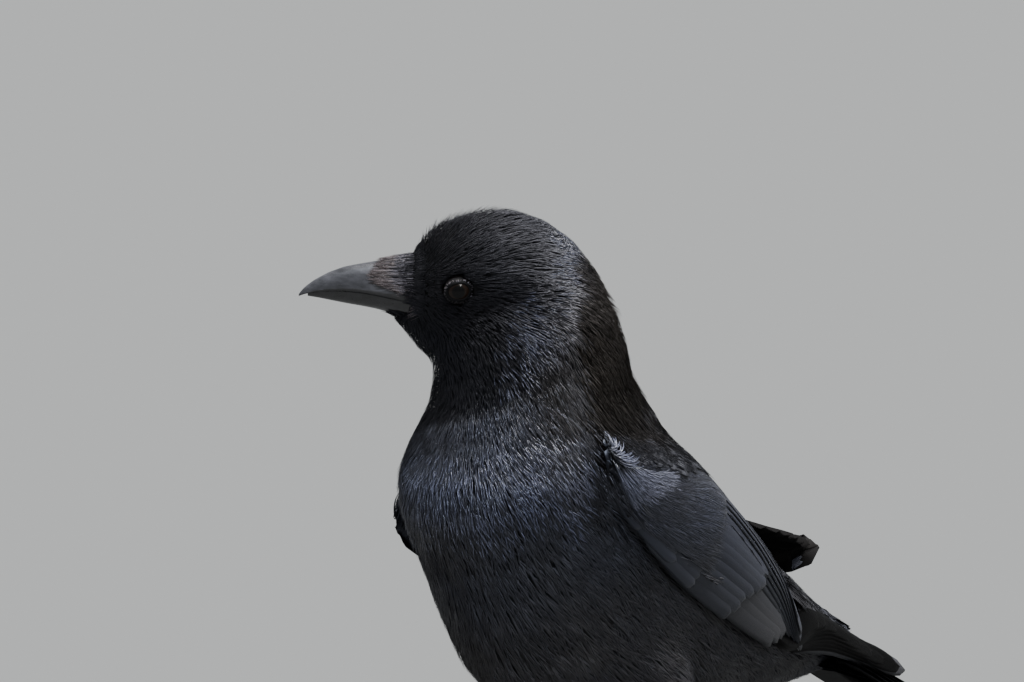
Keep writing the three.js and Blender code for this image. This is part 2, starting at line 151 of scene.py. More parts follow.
def from_head(ahead, left, above):
    """The place so many mm ahead of the eyes, to the head's left and above the eyes."""
    across = np.multiply.outer(np.asarray(ahead, float), HEAD_AHEAD)
    across = across + np.multiply.outer(np.asarray(left, float), HEAD_LEFT)
    return BETWEEN_EYES + (across + np.multiply.outer(np.asarray(above, float), UP)) * MM


def below_head(points):
    """How far under the plane that parts head and neck each point is, in mm."""
    ahead, _, above = in_head(points)
    return -((above + 23.7) * math.cos(NECK_SLOPE) + (ahead + 3.4) * math.sin(NECK_SLOPE))


def from_bill(points):
    """How far each point is from the middle of the bill's base, in mm."""
    return np.linalg.norm(points - BILL_BASE, axis=-1) / MM


def from_eye(points):
    """How far each point is from the middle of the nearer eye, in mm."""
    return np.minimum(*(np.linalg.norm(points - EYES[s], axis=-1) for s in SIDES)) / MM


def cool_share(points):
    """1 where the black is blue, as on breast, back and wings, and 0 where it is brown."""
    ahead, _, _ = in_head(points)
    down = below_head(points)
    nape = smooth(-ahead, 22, 40) * smooth(down, -22, 0) * (1 - smooth(down, 24, 62))
    belly = smooth(0.175 - points[:, 2], 0, 0.045) * smooth(0.062 - points[:, 1], 0, 0.03)
    return np.clip(0.72 - 0.72 * np.maximum(nape, belly) + 0.15 * waves(points, 0.04, 8), 0, 1)


def gloss_share(points):
    """1 where the feathers shine, as on the hind crown, hackles, breast and wings, 0 where dull."""
    behind = -in_head(points)[0]
    down = below_head(points)
    crown = smooth(behind, 20, 36) * (1 - smooth(behind, 48, 56))
    hackle = smooth(behind, -6, 12) * (1 - smooth(behind, 34, 46))
    height = points[:, 2] + 0.016 * waves(points, 0.016, 14)
    mantle = smooth(behind, 32, 46) * smooth(height, 0.202, 0.222)
    trunk = smooth(height, 0.146, 0.208) * (1 - 0.9 * mantle)
    share = mix(crown, hackle, smooth(down, -14, 8))
    share = mix(share, trunk, smooth(down, 34, 50))
    return np.clip(share + 0.18 * waves(points, 0.03, 12), 0, 1)


def on_nape(points):
    """Where the hind neck is, whose feathers are dull and brown."""
    behind = -in_head(points)[0]
    share = smooth(behind, 36, 54) * smooth(points[:, 2], 0.200, 0.224)
    return share + 0.2 * waves(points, 0.012, 21) > 0.5


def painted_sheen_share(points):
    """1 where ruffled tips catch the light and get a painted highlight, a paler bluer colour: breast,
    hackles and a band over the hind crown.
    """
    behind = -in_head(points)[0]
    down = below_head(points)
    front = smooth(low_high("trunk")[0][1] + 0.052 - points[:, 1], 0, 0.02)
    breast = bell(points[:, 2], 0.194, 0.019) * front * smooth(down, 20, 40)
    hackle = bell(behind, 28, 12) * bell(down, 4, 13)
    band = bell(behind, 41, 6) * (1 - smooth(down, -16, 0))
    share = np.maximum(np.maximum(breast, hackle), 0.8 * band)
    return np.clip(share + 0.3 * waves(points, 0.012, 23), 0, 1) * (share > 0.2)


# ---------------------------------------------------------------- meshes and surfaces


def new_object(name, mesh):
    made = bpy.data.objects.new(name, mesh)
    bpy.context.scene.collection.objects.link(made)
    return made


def solids(nodes):
    """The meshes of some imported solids, gathered in one."""
    form = bmesh.new()
    for name in nodes:
        form.from_mesh(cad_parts[name].data)
    return form


def mesh_of(form, name):
    mesh = bpy.data.meshes.new(name)
    form.to_mesh(mesh)
    form.free()
    return mesh


def shell_of(nodes, voxel, swell, passes):
    """One closed smooth mesh over several solids, with the thin cuts between them filled."""
    form = solids(nodes)
    bmesh.ops.remove_doubles(form, verts=form.verts, dist=1e-6)
    form.normal_update()
    for vertex in form.verts:
        vertex.co += vertex.normal * swell
    work = new_object("shell", mesh_of(form, "shell"))
    remesh = work.modifiers.new("voxels", "REMESH")
    remesh.mode = "VOXEL"
    remesh.voxel_size = voxel
    ease = work.modifiers.new("ease", "SMOOTH")
    ease.factor = 0.5
    ease.iterations = passes
    graph = bpy.context.evaluated_depsgraph_get()
    mesh = bpy.data.meshes.new_from_object(work.evaluated_get(graph))
    bpy.data.objects.remove(work)
    return mesh


def store(mesh, name, values):
    """Keeps one number for each point of a mesh, for the materials to read."""
    layer = mesh.attributes.new(name, "FLOAT", "POINT")
    layer.data.foreach_set("value", values.astype(np.float32))


def numbers(items, name, width, kind=np.float32):
    """Numbers of a mesh's parts, width of them for each part."""
    values = np.empty(len(items) * width, kind)
    items.foreach_get(name, values)
    return values.reshape(-1, width).astype(float if kind is np.float32 else int)


class Surface:
    """A mesh that can be asked for the nearest place on it, with a smooth normal there."""

    def __init__(self, mesh):
        mesh.calc_loop_triangles()
        self.points = numbers(mesh.vertices, "co", 3)
        self.normals = numbers(mesh.vertices, "normal", 3)
        self.corners = numbers(mesh.loop_triangles, "vertices", 3, np.int32)
        self.loops = numbers(mesh.loop_triangles, "loops", 3, np.int32)
        self.tree = BVHTree.FromPolygons(self.points.tolist(), self.corners.tolist())
        a, b, c = (self.points[self.corners[:, i]] for i in range(3))
        self.areas = np.linalg.norm(np.cross(b - a, c - a), axis=1) / 2

    def shares(self, places, faces):
        """How much each corner of a face weighs at a place on it."""
        a, b, c = (self.points[self.corners[faces, i]] for i in range(3))
        ab, ac, ap = b - a, c - a, places - a
        d00, d01, d11 = dot(ab, ab), dot(ab, ac), dot(ac, ac)
        d20, d21 = dot(ap, ab), dot(ap, ac)
        size = np.maximum(d00 * d11 - d01 * d01, 1e-20)
        v = (d11 * d20 - d01 * d21) / size
        w = (d00 * d21 - d01 * d20) / size
        return np.clip(np.stack((1 - v - w, v, w), -1), 0, 1)

    def nearest(self, places):
        """Nearest places, smooth normals and faces, for an array of places of any shape."""
        wanted = places.reshape(-1, 3)
        hits = [self.tree.find_nearest(p) for p in wanted.tolist()]
        found = np.array([h[0] for h in hits])
        faces = np.array([h[2] for h in hits])
        share = self.shares(found, faces)
        normal = unit((self.normals[self.corners[faces]] * share[..., None]).sum(1))
        return found.reshape(places.shape), normal.reshape(places.shape), faces

    def scatter(self, spacing, rng, crowd=5.0):
        """Random places on the mesh that keep about spacing(places) away from each other."""
        centres = self.points[self.corners].mean(1)
        gap = spacing(centres)
        wanted = np.where(gap > 0, self.areas / np.maximum(gap, 1e-6) ** 2, 0) * crowd
        tries = rng.poisson(wanted)
        faces = rng.permutation(np.repeat(np.arange(len(tries)), tries))
        u, v = rng.random(len(faces)), rng.random(len(faces))
        u, v = np.where(u + v > 1, 1 - u, u), np.where(u + v > 1, 1 - v, v)
        a, b, c = (self.points[self.corners[faces, i]] for i in range(3))
        places = a + (b - a) * u[:, None] + (c - a) * v[:, None]
        kept = apart(places, gap[faces])
        return places[kept]


def apart(places, gap):
    """Numbers of the places that stay when each one clears a room of its own gap round it."""
    kept = []
    cell = float(gap.max()) if len(gap) else 1.0
    grid = {}
    around = [(i, j, k) for i in (-1, 0, 1) for j in (-1, 0, 1) for k in (-1, 0, 1)]
    squares = np.floor(places / cell).astype(int).tolist()
    rooms = (gap**2).tolist()
    for number, (p, (i, j, k), room) in enumerate(zip(places.tolist(), squares, rooms)):
        free = True
        for di, dj, dk in around:
            for q in grid.get((i + di, j + dj, k + dk), ()):
                if (p[0] - q[0]) ** 2 + (p[1] - q[1]) ** 2 + (p[2] - q[2]) ** 2 < room:
                    free = False
                    break
            if not free:
                break
        if free:
            grid.setdefault((i, j, k), []).append(p)
            kept.append(number)
    return np.array(kept, int)


def tree_of(nodes):
    form = solids(nodes)
    tree = BVHTree.FromBMesh(form)
    form.free()
    return tree


def edges_of(nodes):
    """Points of some solids, and the two ends of each of their edges."""
    form = solids(nodes)
    form.verts.index_update()
    points = np.array([v.co for v in form.verts])
    ends = np.array([[v.index for v in edge.verts] for edge in form.edges])
    form.free()
    return points, ends


def section(points, ends, reach, station):
    """Places where the edges cross the plane at reach == station."""
    first, second = reach[ends[:, 0]] - station, reach[ends[:, 1]] - station
    crossed = first * second < 0
    share = (first / (first - second + 1e-15))[crossed][:, None]
    a, b = points[ends[crossed, 0]], points[ends[crossed, 1]]
    return a + (b - a) * share


# ---------------------------------------------------------------- the making of feathers


def vane_faces(rings, across):
    """Faces of one closed thin vane: its upper side as a grid, its underside, and both ends."""
    faces = []
    last = across - 1
    for k in range(rings - 1):
        low, high = k * across, (k + 1) * across
        for j in range(last):
            faces.append((low + j, low + j + 1, high + j + 1, high + j))
        faces.append((low, high, high + last, low + last))
    faces.append(tuple(range(last, -1, -1)))
    faces.append(tuple((rings - 1) * across + j for j in range(across)))
    return faces


def joined_mesh(name, points, faces, values, centres, spread):
    """One mesh of many like pieces.

    points is (pieces, points of a piece, 3), faces the faces of one piece, of which those of
    four corners that run from edge to edge are its underside, values the numbers that the
    materials read, centres each piece's place on the OFBake map, and spread each point's
    place in its piece's own patch of that map, from -1 to 1.
    """
    pieces, each = points.shape[:2]
    mesh = bpy.data.meshes.new(name)
    mesh.vertices.add(pieces * each)
    mesh.vertices.foreach_set("co", points.astype(np.float32).ravel())
    one = np.array([corner for face in faces for corner in face])
    sizes = np.array([len(face) for face in faces])
    corners = (one[None] + np.arange(pieces)[:, None] * each).ravel()
    starts = np.concatenate(((0,), np.cumsum(np.tile(sizes, pieces))[:-1]))
    mesh.loops.add(len(corners))
    mesh.loops.foreach_set("vertex_index", corners.astype(np.int32))
    mesh.polygons.add(len(starts))
    mesh.polygons.foreach_set("loop_start", starts.astype(np.int32))
    mesh.polygons.foreach_set("use_smooth", np.ones(len(starts), bool))
    under = np.array([len(face) == 4 and min(face[1], face[3]) - face[0] > 1 for face in faces])
    mesh.polygons.foreach_set("material_index", np.tile(under.astype(np.int32), pieces))
    for key, value in values.items():
        store(mesh, key, np.broadcast_to(value, (pieces, each)).ravel())
    places = centres[:, None] + np.broadcast_to(spread, (pieces, each, 2)) * PATCH / 2
    layer = mesh.uv_layers.new(name="OFBake")
    layer.data.foreach_set("uv", places.reshape(-1, 2)[corners].astype(np.float32).ravel())
    mesh.update(calc_edges=True)
    return mesh


def piece(name, mesh):
    """A piece of the model, which rides on the body."""
    made = new_object(name, mesh)
    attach(made, "root")
    return made


class Plumage:
    """Gathers feathers of one look and makes them into one piece of the model."""

    def __init__(self, name, material, slot, underside=None):
        self.name, self.slot, self.meshes = name, slot, []
        self.materials = (material, underside or material)

    def add(self, lie, half, across, arch, tone, thin=0.0):
        """Feathers from their centre lines: a Lie, half widths per ring, and points across."""
        rings = lie.path.shape[1]
        step = np.linspace(-1, 1, across)
        side = np.cross(lie.ahead, lie.normal)
        wide = half[..., None] * step
        high = half[..., None] * arch * (1 - step**2) + thin * (1 - np.abs(step))
        points = lie.path[:, :, None] + side[:, :, None] * wide[..., None]
        points = points + lie.normal[:, :, None] * high[..., None]
        along = np.repeat(np.linspace(0, 1, rings), across)
        values = {
            "along": along[None],
            "across": np.tile(step, rings)[None],
            "tone": tone[:, None],
            "length": (lie.length / MM)[:, None],
            "cool": cool_share(lie.path[:, 0])[:, None],
            "gloss": gloss_share(lie.path[:, 0])[:, None],
        }
        spread = np.stack((np.tile(step, rings), along * 2 - 1), -1)
        points = points.reshape(len(points), -1, 3)
        faces = vane_faces(rings, across)
        self.meshes.append(joined_mesh(self.name, points, faces, values, lie.uv, spread))

    def finish(self):
        """The gathered meshes as one piece, which rides on the body."""
        form = bmesh.new()
        for mesh in self.meshes:
            form.from_mesh(mesh)
        whole = mesh_of(form, self.name)
        for look in self.materials:
            whole.materials.append(look)
        return piece(self.name, whole)


class Lie:
    """Centre lines of feathers: path, normal and ahead are (feathers, rings, 3)."""

    def __init__(self, path, normal, ahead, length, uv):
        self.path, self.normal, self.ahead = path, normal, ahead
        self.length, self.uv = length, uv

    def some(self, which):
        return Lie(*(v[which] for v in (self.path, self.normal, self.ahead, self.length, self.uv)))


def lay(surface, roots, ways, length, rings, root_depth, tip_lift):
    """Lays feathers along a surface from their roots: they start under it and end at it."""
    steps = len(rings)
    place, normal, _ = surface.nearest(roots)
    way = flat_to(ways, normal)
    path, normals, aheads = [], [], []
    for k in range(steps):
        t = rings[k]
        depth = -root_depth * (1 - t) ** 1.6 + tip_lift * t**2
        path.append(place + normal * depth[:, None])
        normals.append(normal)
        aheads.append(way)
        if k + 1 < steps:
            go = (rings[k + 1] - t) * length
            place, normal, _ = surface.nearest(place + way * go[:, None])
            way = flat_to(way, normal)
    path = np.stack(path, 1)
    ahead = unit(np.gradient(path, axis=1))
    normals = np.stack(normals, 1)
    normals = unit(normals - ahead * dot(normals, ahead)[..., None])
    return Lie(path, normals, ahead, length, skin_map(roots))


# ---------------------------------------------------------------- materials


def material(name):
    made = bpy.data.materials.new(name)
    made.use_nodes = True
    tree = made.node_tree
    tree.nodes.clear()
    out = tree.nodes.new("ShaderNodeOutputMaterial")
    shader = tree.nodes.new("ShaderNodeBsdfPrincipled")
    tree.links.new(shader.outputs[0], out.inputs[0])
    return made, tree, shader


def feed(tree, made, inputs):
    """Links or sets a node's inputs."""
    for key, value in inputs.items():
        if isinstance(value, bpy.types.NodeSocket):
            tree.links.new(value, made.inputs[key])
        else:
            made.inputs[key].default_value = value


def node(tree, kind, inputs, **settings):
    made = tree.nodes.new("ShaderNode" + kind)
    for key, value in settings.items():
        setattr(made, key, value)
    feed(tree, made, inputs)
    return made


def noise(tree, scale, detail, place=None):
    inputs = {"Scale": scale, "Detail": detail}
    return node(tree, "TexNoise", inputs if place is None else {"Vector": place, **inputs})


def bumps(tree, height, strength, distance):
    inputs = {"Height": height, "Strength": strength, "Distance": distance}
    return node(tree, "Bump", inputs).outputs[0]


def mixed(tree, share, a, b, way="MIX"):
    inputs = {0: share, 6: a, 7: b}
    return node(tree, "Mix", inputs, data_type="RGBA", blend_type=way).outputs[2]


def math_node(tree, operation, a, b=0.0):
    return node(tree, "Math", {0: a, 1: b}, operation=operation).outputs[0]


def scaled(tree, value, by, plus):
    both = {0: value, 1: by, 2: plus}
    return node(tree, "Math", both, operation="MULTIPLY_ADD").outputs[0]


def value_of(tree, name):
    return node(tree, "Attribute", {}, attribute_name=name).outputs["Fac"]


def ramp(tree, value, stops):
    """A colour ramp over value; stops are (place, (red, green, blue))."""
    made = node(tree, "ValToRGB", {"Fac": value})
    steps = made.color_ramp.elements
    while len(steps) < len(stops):
        steps.new(0.5)
    for step, (place, colour) in zip(steps, stops):
        step.position = place
        step.color = (*colour, 1)
    return made.outputs[0]


WARM, COOL = (1.10, 1.0, 0.88, 1), (0.90, 0.97, 1.24, 1)
DARKER, LIGHTER = (0.62, 0.62, 0.62, 1), (1.38, 1.38, 1.38, 1)


def tinted(tree, colour, tone, cool):
    """A black made lighter or darker by tone, and brown or blue by cool."""
    for factor in (mixed(tree, tone, DARKER, LIGHTER), mixed(tree, cool, WARM, COOL)):
        colour = mixed(tree, 1.0, colour, factor, "MULTIPLY")
    return colour


def plumage_material(name, root, body, tip, rough, dull, shine, tint, barbs, rim=1.0):
    """Black feather with fine barbs across its vane.

    Its roughness is rough where the plumage shines and dull where it doesn't, and rim is how much
    paler both its edges are, as a painted highlight, or under 1 how much darker, as painted shade.
    """
    made, tree, shader = material(name)
    keys = ("along", "across", "tone", "cool", "gloss")
    along, across, tone, cool, gloss = (value_of(tree, key) for key in keys)
    away = math_node(tree, "ABSOLUTE", across)
    shade = ramp(tree, along, ((0.0, root), (0.45, body), (1.0, tip)))
    # Painted light along both edges of each feather: paler as a highlight, or darker as shade.
    if rim != 1:
        edge = node(tree, "MapRange", {0: away, 1: 0.86, 2: 1.0, 3: 1.0, 4: rim}).outputs[0]
        shade = mixed(tree, 1.0, shade, edge, "MULTIPLY")
    by_place = scaled(tree, gloss, rough - dull, dull + 0.08)
    by_feather = scaled(tree, tone, -0.16, 0.0)
    inputs = {
        "Base Color": tinted(tree, shade, tone, cool),
        "Roughness": math_node(tree, "ADD", by_place, by_feather),
        "Specular IOR Level": shine,
        "Specular Tint": (*tint, 1),
    }
    if barbs:
        length = value_of(tree, "length")
        run = math_node(tree, "MULTIPLY", along, length)
        lean = math_node(tree, "MULTIPLY", away, -3.0)
        phase = math_node(tree, "ADD", run, lean)
        ridge = math_node(tree, "SINE", math_node(tree, "MULTIPLY", phase, barbs))
        inputs["Normal"] = bumps(tree, ridge, 0.35, 0.00012)
    feed(tree, shader, inputs)
    return made


# Colours of the feathers are those of root, body and tip.
SOFT_LOOK = plumage_material(
    "soft_feather", (0.004, 0.004, 0.004), (0.010, 0.010, 0.010), (0.016, 0.0155, 0.0165),
    rough=0.32, dull=0.78, shine=0.34, tint=(0.82, 0.84, 1.0), barbs=0
)
UNDER_LOOK = plumage_material(
    "under_feather", (0.004, 0.004, 0.004), (0.007, 0.007, 0.007), (0.008, 0.008, 0.008),
    rough=0.6, dull=0.7, shine=0.10, tint=(0.84, 0.86, 1.0), barbs=0
)
# Painted highlight: rim over 1 makes the firm feathers' edges a little paler.
FIRM_LOOK = plumage_material(
    "firm_feather", (0.005, 0.005, 0.006), (0.0075, 0.0077, 0.0092), (0.0095, 0.0098, 0.0118),
    rough=0.42, dull=0.66, shine=0.22, tint=(0.80, 0.84, 1.0), barbs=11.0, rim=1.1
)
NAPE_LOOK = plumage_material(
    "nape_feather", (0.004, 0.004, 0.004), (0.0075, 0.0069, 0.0066), (0.0100, 0.0090, 0.0086),
    rough=0.6, dull=0.75, shine=0.10, tint=(1.0, 0.94, 0.92), barbs=0
)
# Painted highlight: the ruffled tips are coloured far paler and bluer than the rest of the plumage.
PAINTED_SHEEN_LOOK = plumage_material(
    "sheen_feather", (0.005, 0.005, 0.006), (0.020, 0.0205, 0.026), (0.050, 0.052, 0.066),
    rough=0.30, dull=0.4, shine=0.42, tint=(0.86, 0.90, 1.0), barbs=0
)
# Painted shade: rim under 1 darkens the edges where the wing's feathers overlap.
WING_LOOK = plumage_material(
    "wing_feather", (0.006, 0.006, 0.007), (0.0105, 0.011, 0.014), (0.013, 0.0135, 0.016),
    rough=0.42, dull=0.5, shine=0.24, tint=(0.74, 0.80, 1.0), barbs=9.0, rim=0.5
)
# Painted shade: primaries and tail are coloured darker than the other wing feathers; rim over 1 paints a
# highlight along their edges.
PAINTED_SHADE_QUILL_LOOK = plumage_material(
    "flight_feather", (0.004, 0.004, 0.004), (0.005, 0.005, 0.0054), (0.006, 0.006, 0.0064),
    rough=0.5, dull=0.55, shine=0.05, tint=(0.80, 0.84, 1.0), barbs=9.0, rim=1.5
)
WING_UNDER_LOOK = plumage_material(
    "flight_feather_underside", (0.004, 0.0038, 0.0034), (0.0055, 0.0052, 0.0046), (0.0065, 0.0062, 0.0055),
    rough=0.6, dull=0.65, shine=0.03, tint=(0.9, 0.9, 1.0), barbs=9.0
)
# Painted highlight: the tufts at the front of the wings are coloured pale blue-white.
PAINTED_HIGHLIGHT_TUFT_LOOK = plumage_material(
    "shoulder_tuft", (0.006, 0.006, 0.007), (0.026, 0.027, 0.034), (0.060, 0.063, 0.078),
    rough=0.34, dull=0.4, shine=0.4, tint=(0.86, 0.90, 1.0), barbs=0
)
COVERT_LOOK = plumage_material(
    "small_covert", (0.006, 0.006, 0.007), (0.012, 0.0125, 0.016), (0.015, 0.0155, 0.020),
    rough=0.36, dull=0.5, shine=0.30, tint=(0.78, 0.84, 1.0), barbs=0
)
BRISTLE_LOOK = plumage_material(
    "bristle", (0.030, 0.027, 0.029), (0.050, 0.045, 0.045), (0.085, 0.068, 0.058),
    rough=0.45, dull=0.5, shine=0.3, tint=(1.0, 0.95, 0.92), barbs=0
)


def skin_material():
    """Dark skin that carries the plumage's tints, and is bare and wrinkled on the lids."""
    made, tree, shader = material("crow_skin")
    grain = noise(tree, 900.0, 4.0).outputs[0]
    coated, lid = (
        ramp(tree, grain, ((0.3, (black,) * 3), (0.7, (2 * black,) * 3))) for black in (0.005, 0.004)
    )
    colour = mixed(tree, value_of(tree, "bare"), coated, lid)
    inputs = {
        "Base Color": tinted(tree, colour, 0.5, value_of(tree, "cool")),
        "Roughness": 0.65,
        "Specular IOR Level": 0.1,
        "Normal": bumps(tree, grain, 0.3, 0.0004),
    }
    feed(tree, shader, inputs)
    return made


def horn_material(name, dark, light, rough):
    """Horn of bill or claw: slate black with faint growth lines and a worn, dusty bloom."""
    made, tree, shader = material(name)
    place = node(tree, "TexCoord", {}).outputs["Object"]
    long_way = node(tree, "Mapping", {"Vector": place, "Scale": (300, 300, 900)})
    fine = noise(tree, 1.0, 5.0, long_way.outputs[0]).outputs[0]
    broad = noise(tree, 90.0, 3.0, place).outputs[0]
    blend = math_node(tree, "MULTIPLY", fine, broad)
    inputs = {
        "Base Color": ramp(tree, blend, ((0.12, dark), (0.42, light))),
        "Roughness": scaled(tree, broad, 0.3, rough - 0.15),
        "Normal": bumps(tree, fine, 0.25, 0.0002),
    }
    feed(tree, shader, inputs)
    return made


# ---------------------------------------------------------------- skin

FLESH = ["head", "neck", "trunk", "rump", "thigh_left", "thigh_right"]
WING_FLESH = ["wing_left_coverts", "wing_right_coverts"]


def coat_depth(points):
    """How far the skin lies inside the tips of the feathers."""
    away = from_bill(points)
    return (mix(1.0, 3.0, smooth(away, 4, 50)) + 2.6 * smooth(away, 50, 130)) * MM


def make_skin():
    """The one skin under all the feathers, from the bill to the tail, unwrapped."""
    mesh = shell_of(FLESH + WING_FLESH, 1.8 * MM, 0.25 * MM, 6)
    points, normals = numbers(mesh.vertices, "co", 3), numbers(mesh.vertices, "normal", 3)
    points = points - normals * coat_depth(points)[:, None]
    mesh.vertices.foreach_set("co", points.astype(np.float32).ravel())
    form = bmesh.new()
    form.from_mesh(mesh)
    add_lids(form)
    form.to_mesh(mesh)
    form.free()
    mesh.update()
    points = numbers(mesh.vertices, "co", 3)
    bare = 1 - smooth(from_eye(points), 6.6, 8)
    for key, value in (("bare", bare), ("cool", cool_share(points))):
        store(mesh, key, value)
    mesh.materials.clear()
    mesh.materials.append(skin_material())
    made = new_object("skin", mesh)
    mesh.uv_layers.new(name="OFBake")
    bpy.context.view_layer.objects.active = made
    made.select_set(True)
    bpy.ops.object.mode_set(mode="EDIT")
    bpy.ops.mesh.select_all(action="SELECT")
    bpy.ops.uv.smart_project(angle_limit=math.radians(66), island_margin=0.002)
    bpy.ops.object.mode_set(mode="OBJECT")
    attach(made, "root")
    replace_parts(made, *FLESH, *WING_FLESH)
    return made


LID_OPEN = (3.9, 3.1)  # half width and half height of the opening between the lids
LID_TILT = math.radians(-8)
# How far each ring of the lid lies outside the opening's edge, as an angle, and from the
# middle of the eye, in mm.
LID_AWAY = (0.0, -0.02, 0.02, 0.08, 0.15, 0.24, 0.36, 0.62)
LID_RADII = (5.7, 6.15, 6.45, 6.6, 6.45, 6.5, 6.35, 6.0)
LID_CREASES = 15


def round_eye(side, away, turn):
    """The ways so far from the eye's axis, and so far round it from its front to its top."""
    level = np.cos(turn)[..., None] * HEAD_AHEAD + np.sin(turn)[..., None] * UP
    return np.cos(away)[..., None] * HEAD_LEFT * SIDES[side] + np.sin(away)[..., None] * level


def lid_edge(turn):
    """Angle from the eye's axis to the opening's edge, so far round the eye from its front."""
    wide, high = LID_OPEN
    at = turn - LID_TILT
    edge = 1 / np.sqrt((np.cos(at) / wide) ** 2 + (np.sin(at) / high) ** 2)
    back = 0.5 * np.exp(-(np.cos(at / 2) ** 4) * 12)
    front = 0.35 * np.exp(-(np.sin(at / 2) ** 4) * 40)
    return np.arcsin((edge + back + front) / 6.2)


def add_lids(form):
    """Adds the bare rim of both eyes' lids to the skin: a fold round each eyeball."""
    around = 48
    turn = round_turns(around)
    for side in SIDES:
        rings = []
        for more, radius in zip(LID_AWAY, LID_RADII):
            away = lid_edge(turn) + more
            crinkle = 1 + 0.012 * np.sin(turn * LID_CREASES) * (0.02 < more < 0.3)
            places = EYES[side] + round_eye(side, away, turn) * (radius * MM * crinkle)[:, None]
            rings.append([form.verts.new(p) for p in places])
        for inner, outer in zip(rings, rings[1:]):
            for i in range(around):
                j = (i + 1) % around
                corners = (inner[i], inner[j], outer[j], outer[i])
                form.faces.new(corners if side == "left" else corners[::-1]).smooth = True


skin = make_skin()
skin_surface = Surface(skin.data)
skin_unwrap = numbers(skin.data.uv_layers["OFBake"].data, "uv", 2)


def skin_map(places):
    """Where each place's nearest point of the skin lies on the skin's unwrap."""
    found, _, faces = skin_surface.nearest(places)
    share = skin_surface.shares(found, faces)
    return (skin_unwrap[skin_surface.loops[faces]] * share[..., None]).sum(1)


# ---------------------------------------------------------------- outer faces of the wings


class Sheet:
    """The outer face of a wing as a grid: u runs from its front to its tip, v down its face."""

    def __init__(self, nodes, axis, out, rows=30, columns=16):
        tree = tree_of(nodes)
        points, ends = edges_of(nodes)
        reach = points @ axis
        stations = np.linspace(reach.min() + 2 * MM, reach.max() - 1.5 * MM, rows)
        grid = []
        for station in stations:
            cut = section(points, ends, reach, station)
            apart_by = np.linalg.norm(cut[:, None] - cut[None], axis=-1)
            i, j = np.unravel_index(apart_by.argmax(), apart_by.shape)
            top, bottom = (cut[i], cut[j]) if cut[i][2] > cut[j][2] else (cut[j], cut[i])
            face = unit(np.cross(axis, bottom - top))
            face = face * np.sign(face @ out)
            row = []
            for v in np.linspace(0.03, 0.97, columns):
                chord = top + (bottom - top) * v
                hit = tree.ray_cast(Vector(chord + face * 0.08), Vector(-face), 0.16)[0]
                row.append(chord if hit is None else np.array(hit))
            grid.append(row)
        grid = np.array(grid)
        for _ in range(3):
            grid[1:-1] = (grid[:-2] + 2 * grid[1:-1] + grid[2:]) / 4
            grid[:, 1:-1] = (grid[:, :-2] + 2 * grid[:, 1:-1] + grid[:, 2:]) / 4
        self.grid = grid
        down, along = np.gradient(grid, axis=1), np.gradient(grid, axis=0)
        normal = unit(np.cross(along, down))
        self.normal = normal * np.sign((normal @ out).sum())
        self.tree = KDTree(grid.shape[0] * grid.shape[1])
        for number, place in enumerate(grid.reshape(-1, 3).tolist()):
            self.tree.insert(place, number)
        self.tree.balance()

    def at(self, u, v):
        """Places and normals; past the edges the sheet goes straight on."""
        rows, columns = self.grid.shape[:2]
        x, y = np.asarray(u) * (rows - 1), np.asarray(v) * (columns - 1)
        i = np.clip(np.floor(x), 0, rows - 2).astype(int)
        j = np.clip(np.floor(y), 0, columns - 2).astype(int)
        s, t = (x - i)[..., None], (y - j)[..., None]
        place = (self.grid[i, j] * (1 - s) + self.grid[i + 1, j] * s) * (1 - t)
        place = place + (self.grid[i, j + 1] * (1 - s) + self.grid[i + 1, j + 1] * s) * t
        s, t = np.clip(s, 0, 1), np.clip(t, 0, 1)
        normal = (self.normal[i, j] * (1 - s) + self.normal[i + 1, j] * s) * (1 - t)
        normal = normal + (self.normal[i, j + 1] * (1 - s) + self.normal[i + 1, j + 1] * s) * t
        return place, unit(normal)

    def find(self, points):
        """u, v and the distance in mm of the sheet's place nearest to each point."""
        rows, columns = self.grid.shape[:2]
        hits = [self.tree.find(p)[1:] for p in points.tolist()]
        number = np.array([h[0] for h in hits], int)
        away = np.array([h[1] for h in hits], float) / MM
        return number // columns / (rows - 1), number % columns / (columns - 1), away


def wing_sheets(side):
    """The arm's and the hand's outer face of one folded wing."""
    out = np.array((SIDES[side], 0.0, 0.25))
    arm = [f"wing_{side}_coverts", f"wing_{side}_secondaries"]
    hand = [f"wing_{side}_primaries"]
    axis = unit(middle(arm[1]) - middle(arm[0]))
    arm_sheet = Sheet(arm, axis, out)
    axis = unit(middle(hand[0]) - middle(arm[1]))
    return arm_sheet, Sheet(hand, axis, out)


SHEETS = {side: wing_sheets(side) for side in SIDES}
WING_PARTS = ("coverts", "secondaries", "primaries")
wing_tree = tree_of([f"wing_{side}_{part}" for side in SIDES for part in WING_PARTS])
quill_tree = tree_of([f"wing_{side}_{part}" for side in SIDES for part in WING_PARTS[1:]])
body = Surface(shell_of(FLESH + WING_FLESH, 1.6 * MM, 0.25 * MM, 5))


# ---------------------------------------------------------------- lie of the coat

NECKWARD = np.array((0.0, 0.18, -1.0))
TAILWARD = unit(np.array((0.0, 0.80, -0.60)))
LEGWARD = unit(np.array((0.0, 0.20, -1.0)))


def flow(points):
    """The way that the feathers lie at each place, before they are laid flat on the body."""
    back = unit(points - BILL_BASE)
    down = below_head(points)
    way = mix(back, unit(back + NECKWARD), smooth(down, -12, 22)[:, None])
    way = mix(way, TAILWARD, smooth(down, 15, 95)[:, None])
    way = mix(way, TAIL_AXIS, smooth(points[:, 1], HIND - 0.015, HIND)[:, None])
    leg = smooth(STAND[2] + 0.098 - points[:, 2], 0, 0.02) * (points[:, 1] < HIND)
    return unit(mix(way, LEGWARD, leg[:, None]))


